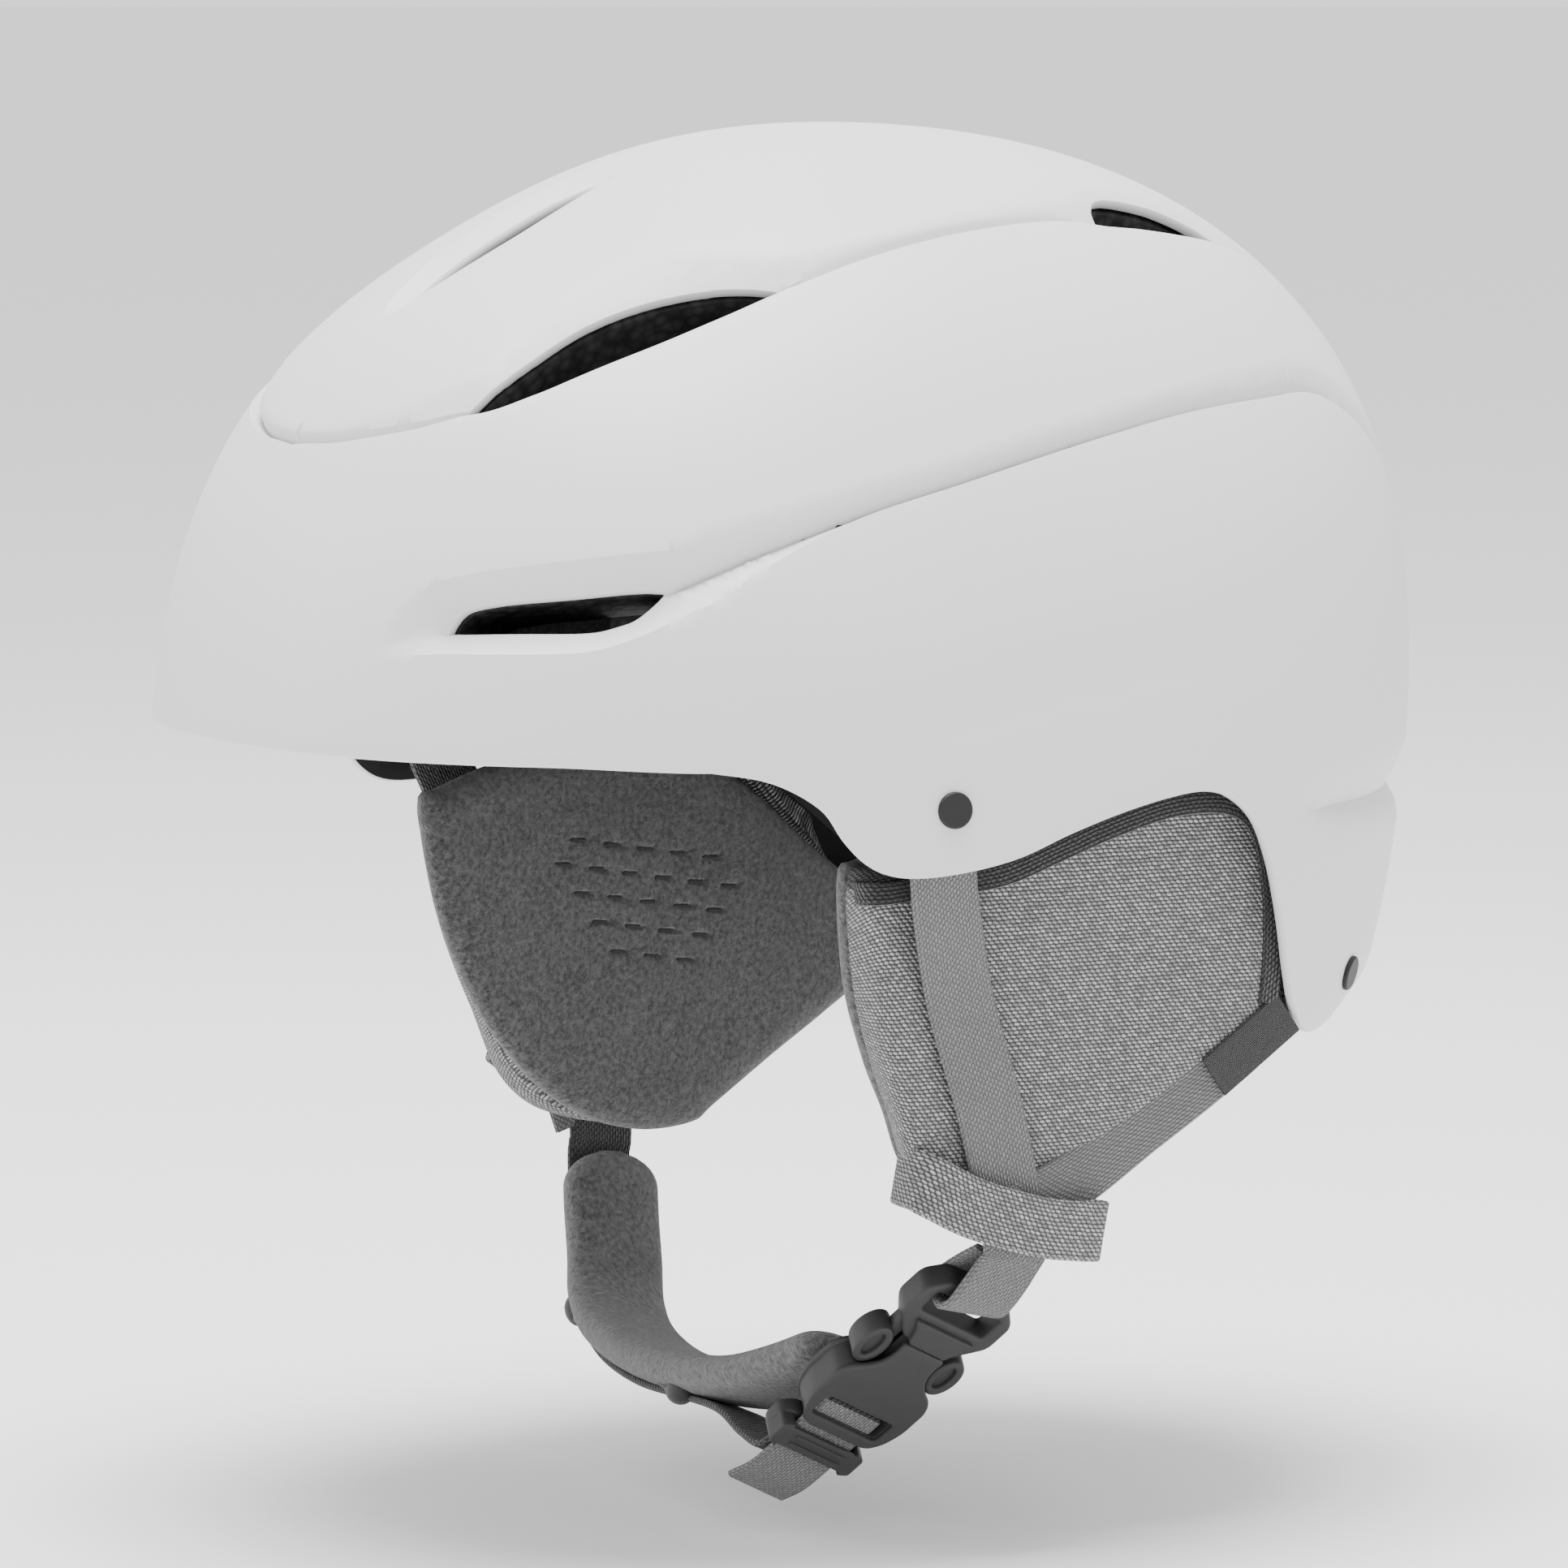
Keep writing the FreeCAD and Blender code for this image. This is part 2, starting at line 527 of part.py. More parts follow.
def make_belts():
    line = belt_line()
    lead_in = [V(24.0, RACK_Y - 0.8, 0), V(20.0, RACK_Y, 0)]
    wall = plan_belt(line + lead_in)
    upper = [(y + 3, z + BELT_HEIGHT) for y, z in BELT_LOWER[-2::-1]]
    band = side_prism(BELT_LOWER, [(112, BELT_LOWER[-1][1] + BELT_HEIGHT)] + upper)
    strip = wall.common(band)
    tip = PITCH_RADIUS - 0.75
    root = PITCH_RADIUS + 0.95
    for name, sign in (("left", 1), ("right", -1)):
        low, high = sorted((DIAL_Z + sign * root, DIAL_Z + sign * RACK_EDGE))
        rack = box(-7.0, 23.0, RACK_Y - BELT / 2, RACK_Y + BELT / 2, low, high)
        tip_z, root_z = DIAL_Z + sign * tip, DIAL_Z + sign * (root + 0.1)
        teeth = tooth_row(-2 * TOOTH_PITCH, 6 * TOOTH_PITCH, tip_z, root_z)
        low, high = sorted((DIAL_Z - sign * 4.0, DIAL_Z + sign * RACK_EDGE))
        web = box(19.6, 23.0, RACK_Y - BELT / 2, RACK_Y + BELT / 2, low, high)
        joined = strip.fuse([web, rack] + teeth).removeSplitter()
        eye = Part.makeCylinder(6.5, BELT, V(ANCHOR[0] - BELT / 2, ANCHOR[1], EYE_Z), V(1, 0, 0))
        joined = joined.fuse(eye).removeSplitter()
        save("fit_belt_" + name, joined if sign > 0 else mirrored(joined))


def plan_belt(points):
    """Thin upright wall that follows the belt's plan."""
    half = BELT / 2
    sides = {1: [], -1: []}
    for k, p in enumerate(points):
        along = (points[min(k + 1, len(points) - 1)] - points[max(k - 1, 0)]).normalize()
        across = Z_AXIS.cross(along)
        for sign in (1, -1):
            sides[sign].append(p + across * (sign * half) + V(0, 0, -60))
    loop = sides[1] + sides[-1][::-1]
    return Part.Face(Part.makePolygon(loop + loop[:1])).extrude(V(0, 0, 140))


def make_cradle():
    low, high = DIAL_Z - 13.0, DIAL_Z + 13.0
    housing = rounded_box(-21.5, 21.5, 89.6, 101.4, low, high, 2.0)
    housing = housing.cut(box(-30, 30, 93.0, 100.2, DIAL_Z - 10.2, DIAL_Z + 10.2))
    flare = box(11.0, 30.0, 91.0, 94.0, DIAL_Z - 10.2, DIAL_Z + 10.2)
    housing = housing.cut(flare).cut(mirrored(flare))
    housing = housing.cut(Part.makeCylinder(1.7, 8, V(0, 88, DIAL_Z), V(0, 1, 0)))
    housing = housing.cut(Part.makeCylinder(3.1, 8, V(0, 97, DIAL_Z), V(0, 1, 0)))
    tongue = box(-7.5, 7.5, 94, 102, 8.9, 11.1).fuse(box(-3.6, 3.6, 94, 102, high - 2, 9.5))
    housing = housing.fuse(tongue).removeSplitter()
    save("cradle_housing", housing)
    plate = rounded_box(-25.5, 25.5, 87.6, 89.5, low - 3, high + 1, 0.8)
    plate = plate.cut(Part.makeCylinder(4.2, 8, V(0, 84, DIAL_Z), V(0, 1, 0)))
    save("cradle_plate", plate)
    pad = rounded_box(-29, 29, 82.0, 87.4, low - 5, high + 2, 2.4)
    save("cradle_pad", pad)
    bracket = box(-13, 13, 84, 112, LINER_NAPE_Z + 0.2, 15)
    bracket = bracket.cut(box(-8, 8, 83, 104, 8.5, 11.5)).cut(box(-4.1, 4.1, 83, 104, 4, 9))
    save("cradle_bracket", bracket)


def make_dial():
    back = 102.0
    shaft_front = 93.6
    knob = Part.makeCylinder(14.5, 8.5, V(0, back, DIAL_Z), V(0, 1, 0))
    knob = knob.makeFillet(1.5, [e for e in knob.Edges if e.CenterOfMass.y > back + 5 and e.Length > 50])
    for k in range(16):
        turn = math.radians(360 * k / 16)
        place = V(15.6 * math.cos(turn), back - 1, DIAL_Z + 15.6 * math.sin(turn))
        knob = knob.cut(Part.makeCylinder(1.8, 12, place, V(0, 1, 0)))
    shaft = Part.makeCylinder(3.0, back - shaft_front + 1, V(0, shaft_front, DIAL_Z), V(0, 1, 0))
    shaft = shaft.cut(Part.makeCylinder(1.5, 6, V(0, shaft_front - 0.1, DIAL_Z), V(0, 1, 0)))
    save("fit_dial", knob.fuse(shaft).removeSplitter())
    root = PITCH_RADIUS - 1.35
    gear = Part.makeCylinder(root, 5.4, V(0, 93.8, DIAL_Z), V(0, 1, 0))
    for k in range(TEETH):
        tooth = [V(-0.95, 93.8, root - 0.3), V(0.95, 93.8, root - 0.3), V(0.38, 93.8, PITCH_RADIUS + 0.7),
                 V(-0.38, 93.8, PITCH_RADIUS + 0.7)]
        solid = Part.Face(Part.makePolygon(tooth + tooth[:1])).extrude(V(0, 5.4, 0))
        solid.rotate(V(0, 0, 0), V(0, 1, 0), 360.0 * k / TEETH)
        solid.translate(V(0, 0, DIAL_Z))
        gear = gear.fuse(solid)
    gear = gear.cut(Part.makeCylinder(3.02, 8, V(0, 93, DIAL_Z), V(0, 1, 0))).removeSplitter()
    save("dial_pinion", gear)
    screw = Part.makeCylinder(3.2, 1.3, V(0, 88.2, DIAL_Z), V(0, 1, 0))
    screw = screw.fuse(Part.makeCylinder(1.45, 9.5, V(0, 89.4, DIAL_Z), V(0, 1, 0))).removeSplitter()
    save("dial_screw", screw)


def make_temple_anchors():
    anchors = []
    for x_sign in (1, -1):
        foot = V(ANCHOR[0] + BELT / 2 + ANCHOR_GAP, ANCHOR[1], EYE_Z)
        pin = Part.makeCylinder(2.2, 9.0, foot, V(1, 0, 0))
        flange = Part.makeCylinder(ANCHOR_FLANGE, 1.2, foot, V(1, 0, 0))
        anchor = pin.fuse(flange).removeSplitter()
        anchors.append(anchor if x_sign > 0 else mirrored(anchor))
    save("temple_anchors", *anchors)


# ---------------------------------------------------------------- goggle retainer
RETAINER_PIN_Z = 52.0


def nape_band(inner, outer, z_values, half_width):
    """Block at the nape between two distances outside the shell, on the middle plane."""
    heights = [reach(V(0, 0, z), V(0, 1, 0)).y for z in z_values]
    inside = [V(-half_width, y + inner, z) for y, z in zip(heights, z_values)]
    outside = [V(-half_width, y + outer, z) for y, z in zip(heights, z_values)]
    loop = inside + outside[::-1]
    return Part.Face(Part.makePolygon(loop + loop[:1])).extrude(V(2 * half_width, 0, 0))


def make_goggle_retainer():
    pin_z = RETAINER_PIN_Z
    pin_y = reach(V(0, 0, pin_z), V(0, 1, 0)).y + 6.5
    base = nape_band(-3, 2.4, (45, 50, 55, 60), 11).cut(EGGS[0.0])
    lugs = box(-9, 9, pin_y - 9, pin_y + 2.2, pin_z - 2.2, pin_z + 2.2).cut(EGGS[0.0])
    base = base.fuse(lugs).removeSplitter()
    base = base.cut(box(-5.9, 5.9, pin_y - 2.6, 150, pin_z - 3.2, pin_z + 3.2))
    base = base.cut(Part.makeCylinder(1.0, 30, V(-15, pin_y, pin_z), V(1, 0, 0)))
    save("retainer_base", base)
    save("retainer_pin", Part.makeCylinder(1.0, 17.6, V(-8.8, pin_y, pin_z), V(1, 0, 0)))
    barrel = Part.makeCylinder(2.1, 10.8, V(-5.4, pin_y, pin_z), V(1, 0, 0))
    strip = nape_band(6.0, 7.8, (12, 20, 28, 36, 44, 51.5), 5.4)
    foot = nape_band(2.1, 6.6, (12, 15, 18.5), 5.4)
    strap = barrel.fuse([strip, foot]).removeSplitter()
    strap = strap.cut(Part.makeCylinder(1.05, 30, V(-15, pin_y, pin_z), V(1, 0, 0)))
    save("goggle_retainer", strap)
    stud_y = reach(V(0, 0, 15.3), V(0, 1, 0)).y
    stud = Part.makeCylinder(4.5, 3.0, V(0, stud_y - 2.2, 15.3), V(0, 1, 0)).cut(EGGS[0.0])
    save("retainer_stud", stud)


make_shell_and_liner(vents())
make_comfort_pads()
make_rivets()
make_ear_pads()
make_pad_clips()
make_side_straps()
make_keepers()
make_chin_strap()
make_buckle()
make_belts()
make_cradle()
make_dial()
make_temple_anchors()
make_goggle_retainer()
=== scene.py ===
import math

import bmesh
import bpy
import numpy as np
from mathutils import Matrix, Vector, noise
from mathutils.geometry import delaunay_2d_cdt


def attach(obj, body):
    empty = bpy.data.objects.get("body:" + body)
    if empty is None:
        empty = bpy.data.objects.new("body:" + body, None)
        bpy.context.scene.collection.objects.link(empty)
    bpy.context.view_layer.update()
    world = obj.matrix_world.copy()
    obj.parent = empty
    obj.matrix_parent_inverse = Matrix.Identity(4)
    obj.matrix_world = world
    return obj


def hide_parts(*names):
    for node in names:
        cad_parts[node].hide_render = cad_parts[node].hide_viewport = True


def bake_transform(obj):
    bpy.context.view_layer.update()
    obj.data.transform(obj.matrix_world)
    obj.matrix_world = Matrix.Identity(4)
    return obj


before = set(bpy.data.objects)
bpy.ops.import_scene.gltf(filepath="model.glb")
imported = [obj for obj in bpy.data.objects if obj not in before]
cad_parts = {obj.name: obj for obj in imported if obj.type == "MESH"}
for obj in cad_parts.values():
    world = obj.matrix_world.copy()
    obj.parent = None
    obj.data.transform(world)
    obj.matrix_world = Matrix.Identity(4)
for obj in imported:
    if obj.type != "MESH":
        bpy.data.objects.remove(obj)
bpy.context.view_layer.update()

# Shapes are worked out in millimetres in the frame's own axes (+X the wearer's left, -Y the
# brow, +Z the crown) and turned into metres when a mesh is made.
MM = 0.001
X, Y, Z = np.eye(3)

# ---------------------------------------------------------------- the helmet's outer surface
HALF_WIDTH = 108.0
CENTRE = np.array((0.0, 0.0, 30.0))
POWER_TOP, POWER_FRONT, POWER_REAR = 2.12, 2.29, 2.17
# radii of the side profile's control points, every 20 degrees from the rear over the crown
PROFILE = np.array([128, 139, 150, 144, 135, 134, 131, 137, 132, 129, 130, 132, 133, 134, 134, 133, 131, 127],
                   float)
PROFILE_STEP = 20.0
SHELL_WALL = 2.2
LINER_DEPTH = 24.0
PAD_DEPTH = 29.5


def smoothstep(x):
    x = np.clip(x, 0.0, 1.0)
    return x * x * (3 - 2 * x)


def unit(v):
    v = np.asarray(v, float)
    return v / np.linalg.norm(v, axis=-1, keepdims=True)


def profile_radius(angle):
    """Radius of the side profile: angle 0 is the nape, 90 degrees the crown."""
    place = (np.degrees(angle) % 360.0) / PROFILE_STEP
    i = place.astype(int)
    t = place - i
    weights = [(1 - t) ** 3, 3 * t ** 3 - 6 * t ** 2 + 4, -3 * t ** 3 + 3 * t ** 2 + 3 * t + 1, t ** 3]
    return sum(w * PROFILE[(i + k - 1) % len(PROFILE)] for k, w in enumerate(weights)) / 6.0


def section_power(angle):
    forward = np.cos(angle)
    end_power = np.where(forward < 0, POWER_FRONT, POWER_REAR)
    return POWER_TOP + (end_power - POWER_TOP) * forward ** 2


def level(p):
    """1 on the outer surface, less inside it, in proportion to the distance from CENTRE."""
    q = np.atleast_2d(p) - CENTRE
    angle = np.arctan2(q[:, 2], q[:, 1])
    power = section_power(angle)
    across = np.abs(q[:, 0]) / HALF_WIDTH
    return (across ** power + (np.hypot(q[:, 1], q[:, 2]) / profile_radius(angle)) ** power) ** (1 / power)


def on_surface(p):
    p = np.atleast_2d(np.asarray(p, float))
    return CENTRE + (p - CENTRE) / level(p)[:, None]


def outward(p):
    """Unit normals of the outer surface."""
    p = np.atleast_2d(p)
    step = 0.3
    slope = np.stack([level(p + d * step) - level(p - d * step) for d in (X, Y, Z)], axis=1)
    return unit(slope)


def side_x(y, z):
    """x of the surface, on the wearer's left, at y and z."""
    up = np.asarray(z, float) - CENTRE[2]
    angle = np.arctan2(up, y)
    power = section_power(angle)
    share = np.hypot(y, up) / profile_radius(angle)
    return HALF_WIDTH * np.maximum(0.0, 1 - share ** power) ** (1 / power)


def middle_y(z, sign):
    """y of the surface on the middle plane at height z, at the brow (-1) or the nape (+1)."""
    near, far = 0.0, 200.0
    for _ in range(40):
        middle = (near + far) / 2
        if level([[0.0, sign * middle, z]])[0] < 1:
            near = middle
        else:
            far = middle
    return sign * near


def to_plan(p):
    """Directions from CENTRE laid flat around the crown, so that the whole shell is one flat sheet."""
    d = unit(np.atleast_2d(p) - CENTRE)
    polar = np.arccos(np.clip(d[:, 2], -1, 1))
    flat = np.maximum(np.hypot(d[:, 0], d[:, 1]), 1e-12)
    return np.stack([d[:, 0] / flat * polar, d[:, 1] / flat * polar], axis=1)


def from_plan(q):
    polar = np.hypot(q[:, 0], q[:, 1])
    flat = np.maximum(polar, 1e-12)
    d = np.stack([q[:, 0] / flat * np.sin(polar), q[:, 1] / flat * np.sin(polar), np.cos(polar)], axis=1)
    return on_surface(CENTRE + d)


def smooth_line(points, step, closed=False):
    """Catmull-Rom curve through rows of numbers whose first three are a place."""
    p = np.array(points, float)
    if closed:
        row = np.vstack([p[-1:], p, p[:2]])
    else:
        row = np.vstack([2 * p[:1] - p[1:2], p, 2 * p[-1:] - p[-2:-1]])
    out = []
    for k in range(1, len(row) - 2):
        a, b, c, d = row[k - 1:k + 3]
        count = max(1, int(round(np.linalg.norm((c - b)[:3]) / step)))
        t = (np.arange(count) / count)[:, None]
        out.append(0.5 * (2 * b + (c - a) * t + (2 * a - 5 * b + 4 * c - d) * t ** 2
                          + (3 * b - a - 3 * c + d) * t ** 3))
    if not closed:
        out.append(p[-1:])
    return np.vstack(out)


def surface_line(points, step, closed=False):
    return on_surface(smooth_line(points, step, closed))


# ---------------------------------------------------------------- features of the shell
# lower edge of the shell from the side, brow to nape: (y, z); the same for the foam liner
RIM = [(-72, 45), (-63, 43.4), (-56.4, 40.6), (-51, 36.6), (-47.3, 31), (-43, 26.6), (-38, 24.2),
       (-31, 23.5), (-21, 24.4), (-10.6, 26.5), (0.5, 30.4), (12, 33.7), (24, 36.1), (34, 36.8),
       (41, 34.9), (48, 29.6), (53, 21), (57, 10.8), (62, -3), (67, -12), (73, -16), (80, -15),
       (88, -11), (98, -7.5), (107, -3.5), (118, -1)]
LINER_RIM = [(-64, 49), (-52, 45), (40, 45), (58, 43), (67, 30), (73, 8), (80, 3)]
BROW_Z, NAPE_Z = 46.0, 0.0
LINER_BROW_Z, LINER_NAPE_Z = 49.0, 4.5

# Creases: (x, y, z, slope width above, slope width below, depth) along the valley's line.
BROW_CREASE = [(0, -112.5, 103.5, 2.6, 0.4, 1.2), (16.7, -110.8, 104.9, 3.0, 0.4, 1.3),
               (32.4, -104.9, 107.6, 5.0, 0.4, 1.6), (41.2, -98.9, 110.3, 8.0, 0.4, 2.0),
               (46.9, -94.0, 111.7, 10.0, 0.4, 2.6), (51.1, -88.2, 114.4, 15.0, 0.4, 4.6),
               (54.5, -81.1, 117.5, 19.0, 0.4, 6.2), (59.4, -65.8, 123.9, 23.0, 0.4, 7.0),
               (61.6, -52.5, 128.8, 22.0, 0.4, 6.6), (62.4, -42.9, 132.2, 17.0, 0.4, 4.6),
               (62.6, -31.1, 136.2, 7.6, 0.4, 2.6), (61.6, -11.9, 141.3, 3.6, 0.4, 1.7),
               (59.1, 8.5, 144.7, 3.4, 0.4, 1.6), (55.8, 29.6, 146.1, 5.0, 0.4, 2.0),
               (55.0, 42.6, 144.7, 11.0, 0.4, 3.6), (53.5, 50.4, 144.0, 14.0, 0.4, 5.0),
               (50.5, 62.1, 142.5, 14.0, 0.4, 5.0), (44.8, 76.8, 139.8, 10.0, 0.4, 3.4),
               (41.6, 87.0, 136.2, 5.5, 0.4, 2.3), (40.6, 98.0, 127.0, 5.0, 0.4, 2.1),
               (40.5, 108.0, 113.0, 5.0, 0.4, 1.9), (40.0, 115.0, 98.0, 5.0, 0.4, 1.7),
               (38.5, 119.5, 84.0, 5.0, 0.4, 1.5), (38.0, 121.5, 76.0, 5.0, 0.4, 1.5)]
SIDE_CREASE = [(84.9, -76.3, 78.8, 7.0, 6.0, 3.2), (87.8, -67.9, 82.3, 7.0, 5.0, 2.8),
               (90.6, -55.1, 87.1, 6.0, 2.6, 2.3), (92.7, -38.2, 92.3, 5.0, 0.6, 1.9),
               (93.6, -13.0, 98.5, 4.2, 0.4, 1.7), (91.1, 16.6, 105.3, 4.2, 0.4, 1.6),
               (87.0, 38.3, 109.1, 4.6, 0.4, 1.7), (79.9, 62.3, 111.2, 5.6, 0.4, 1.9),
               (72.1, 79.3, 111.6, 6.2, 0.4, 2.0), (66.6, 91.0, 108.0, 6.2, 0.4, 2.0),
               (61.9, 100.2, 102.5, 6.0, 0.4, 1.9), (56.5, 108.0, 96.6, 5.6, 0.4, 1.7),
               (50.0, 114.0, 87.0, 5.0, 0.4, 1.4), (44.0, 118.5, 77.0, 4.0, 0.4, 1.0)]
# upper edges of the two vents that open out of the brow crease
UPPER_VENT_TOP = [(41.2, -98.9, 110.3), (42.8, -93.5, 114.8), (43.8, -86, 120.6), (45.4, -75, 128.2),
                  (48.2, -64, 133.4), (52.4, -53, 136.4), (57.4, -43.5, 136.8), (62.6, -34.5, 135.2)]
REAR_VENT_TOP = [(55, 42.6, 144.7), (49.4, 42.4, 148.8), (44.6, 47.5, 150.6), (41.4, 59, 149),
                 (40, 71, 145.2), (40.4, 80, 140.8), (42, 86, 136.7)]
# vents that lie in a dish of their own: the hole, then the dish's outer edge
BROW_VENT = [(56.1, -110.7, 70.9), (57.9, -108.2, 75.1), (62.7, -103.7, 76.9), (73.9, -92.2, 78.7),
             (82.6, -79.3, 80), (84.7, -76.3, 78.8), (83.3, -81.5, 74), (81.2, -85.6, 72.1),
             (77.7, -90.8, 70.8), (69.3, -100.3, 70.5), (57.7, -109.9, 70)]
BROW_DISH = [(45.7, -117.6, 66.5), (51, -111.5, 77.6), (56.2, -107.2, 80.6), (72.2, -91.2, 84.2),
             (83, -74.1, 86.4), (86, -66, 87.0), (89.6, -60, 83.5), (90.3, -65.8, 77.7),
             (87.7, -73.3, 74.7), (84.8, -80.5, 70.9), (80.4, -88.7, 67.8), (74.6, -96.1, 66.8),
             (59.9, -109.3, 66.3)]
CROWN_VENT = [(0, -89, 130), (3.6, -80, 136), (5.2, -66, 144.5), (4.6, -52, 151.5), (0, -43, 155.4)]
CROWN_DISH = [(0, -93, 127), (6, -84, 134), (9.5, -69, 143), (9, -53, 151), (6, -42, 156), (0, -34, 159)]
NAPE_VENT = [(16, 129, 71), (24, 127, 74), (34, 123, 75), (43, 118.5, 72), (44, 118, 68), (34, 124, 65.5),
             (20, 129.5, 65), (15, 130.5, 67)]
NAPE_DISH = [(10, 130, 70), (18, 127.5, 79), (34, 121, 80), (48, 114, 75), (49, 114, 66), (36, 123, 61),
             (18, 130, 60), (10, 131, 64)]
DISH_DEPTH = 4.2
CROWN_DISH_DEPTH = 2.4
NAPE_DISH_DEPTH = DISH_DEPTH * 0.8
# the narrow facet beside a crease, the lip on its other side, and how far a crease fades past its end
GROOVE_DEEP, GROOVE_WIDE, LIP_WIDE = 1.6, 2.0, 0.4
CREASE_FADE = 8.0
# the channel for a goggle strap around the nape: its middle height, depth, and widths above and below
CHANNEL_Z, CHANNEL_DEEP, CHANNEL_ABOVE, CHANNEL_BELOW = 29.5, 3.4, 9.0, 5.0
# the slight flare of the sides under this line
FLANGE_DEEP, FLANGE_WIDE = 0.55, 16.0
FLANGE_LINE = [(99.2, -60.3, 35.3), (105.7, -29.7, 47.5), (106.7, -2.6, 53.3), (105.1, 26.7, 58.1),
               (100.4, 50.8, 60.6), (93, 70, 62)]


class Crease:
    """A valley that runs along the surface, with its own slope widths and depth at every place."""

    def __init__(self, rows, step=1.0):
        line = smooth_line(rows, step)
        self.p = on_surface(line[:, :3])
        self.above, self.below, self.depth = line[:, 3], line[:, 4], line[:, 5]
        self.n = outward(self.p)
        self.t = unit(np.gradient(self.p, axis=0))
        self.side = np.cross(self.n, self.t)

    def offset(self, distance):
        return on_surface(self.p + self.side * distance[:, None])

    def groove(self, s):
        """Depth of the narrow facet that runs along the crease, a distance s above its line."""
        return GROOVE_DEEP * np.where(s > 0, 1 - s / GROOVE_WIDE, 1 + s / LIP_WIDE).clip(0, 1)

    def depth_at(self, p):
        nearest = nearest_index(p, self.p)
        away = p - self.p[nearest]
        s = np.sum(away * self.side[nearest], axis=1)
        along = np.sum(away * self.t[nearest], axis=1)
        past_end = np.where((nearest == 0) | (nearest == len(self.p) - 1), np.abs(along), 0.0)
        share = np.where(s > 0, 1 - s / self.above[nearest], 1 + s / self.below[nearest])
        soft = 0.08
        share = 0.5 * (share + np.sqrt(share ** 2 + soft ** 2)) - soft ** 2 / 4
        share = np.where(s < -self.below[nearest] - 0.02, 0.0, np.where(share < 0.02, 0.0, share))
        return (self.depth[nearest] * share + self.groove(s)) * (1 - smoothstep(past_end / CREASE_FADE))


def nearest_index(p, line):
    out = np.empty(len(p), int)
    for start in range(0, len(p), 2000):
        block = p[start:start + 2000]
        out[start:start + 2000] = np.argmin(((block[:, None, :] - line[None]) ** 2).sum(-1), axis=1)
    return out


def distance_to(p, line):
    return np.linalg.norm(p - line[nearest_index(p, line)], axis=1)


def inside(points, polygon):
    """Which plan points lie in a plan polygon."""
    x, y = points[:, 0], points[:, 1]
    result = np.zeros(len(points), bool)
    for (x0, y0), (x1, y1) in zip(polygon, np.roll(polygon, -1, axis=0)):
        crosses = (y0 > y) != (y1 > y)
        if y1 != y0:
            result ^= crosses & (x < (x1 - x0) * (y - y0) / (y1 - y0) + x0)
    return result


def mirror_closed(half):
    """A closed outline from its left half, which starts and ends on the middle plane."""
    other = np.array(half, float)[-2:0:-1] * (-1, 1, 1)
    return np.vstack([np.array(half, float), other])


brow_crease = Crease(BROW_CREASE)
side_crease = Crease(SIDE_CREASE)
dishes = []
for hole_points, dish_points, dish_deep in (
        (BROW_VENT, BROW_DISH, DISH_DEPTH),
        (mirror_closed(CROWN_VENT), mirror_closed(CROWN_DISH), CROWN_DISH_DEPTH),
        (NAPE_VENT, NAPE_DISH, NAPE_DISH_DEPTH)):
    dishes.append((surface_line(hole_points, 1.2, True), surface_line(dish_points, 1.6, True), dish_deep))


def dish_depth(p, hole_line, dish_line, depth):
    plan = to_plan(p)
    in_dish = inside(plan, to_plan(dish_line))
    in_hole = inside(plan, to_plan(hole_line))
    to_edge = distance_to(p, dish_line)
    to_hole = distance_to(p, hole_line)
    share = np.where(in_hole, 1.0, to_edge / np.maximum(to_edge + to_hole, 1e-6))
    return np.where(in_dish, depth * share, 0.0)


def groove_depth(p):
    """The groove around the nape where a goggle strap lies."""
    behind = smoothstep((p[:, 1] - 52) / 30)
    height = p[:, 2] - CHANNEL_Z
    shape = np.where(height > 0, 1 - height / CHANNEL_ABOVE, 1 + height / CHANNEL_BELOW)
    return CHANNEL_DEEP * np.clip(shape, 0, 1) ** 1.2 * behind


flange = surface_line(FLANGE_LINE, 2.0)


def flange_depth(p):
    near = distance_to(p, flange)
    below = p[:, 2] < flange[nearest_index(p, flange)][:, 2]
    deep = np.where(below, 0.0, FLANGE_DEEP * (1 - smoothstep(near / FLANGE_WIDE)))
    return deep * smoothstep((60 - np.abs(p[:, 1])) / 12)


def shell_depth(p):
    """How far the shell's features lie under the plain surface, on the wearer's left."""
    q = p * (1, 1, 1)
    q[:, 0] = np.abs(q[:, 0])
    parts = [brow_crease.depth_at(q), side_crease.depth_at(q)]
    parts += [dish_depth(q, *dish) for dish in dishes]
    return np.maximum.reduce(parts) + groove_depth(q) + flange_depth(q)


def section_between(crease, first, last):
    """The stretch of a crease between the places nearest to two points."""
    ends = nearest_index(np.array([first, last], float), crease.p)
    return slice(int(ends[0]), int(ends[1]) + 1)


def vent_hole(top):
    """Outline of a vent that opens out of the brow crease: the crease's lip and the vent's top edge."""
    part = section_between(brow_crease, top[0], top[-1])
    if part.start >= part.stop:
        part = section_between(brow_crease, top[-1], top[0])
    lip = brow_crease.offset(-brow_crease.below)[part]
    upper = surface_line(top, 1.2)
    if np.linalg.norm(upper[0] - lip[-1]) > np.linalg.norm(upper[-1] - lip[-1]):
        upper = upper[::-1]
    return np.vstack([lip, upper[1:-1]])


HOLES = [vent_hole(UPPER_VENT_TOP), vent_hole(REAR_VENT_TOP)] + [dish[0] for dish in dishes]


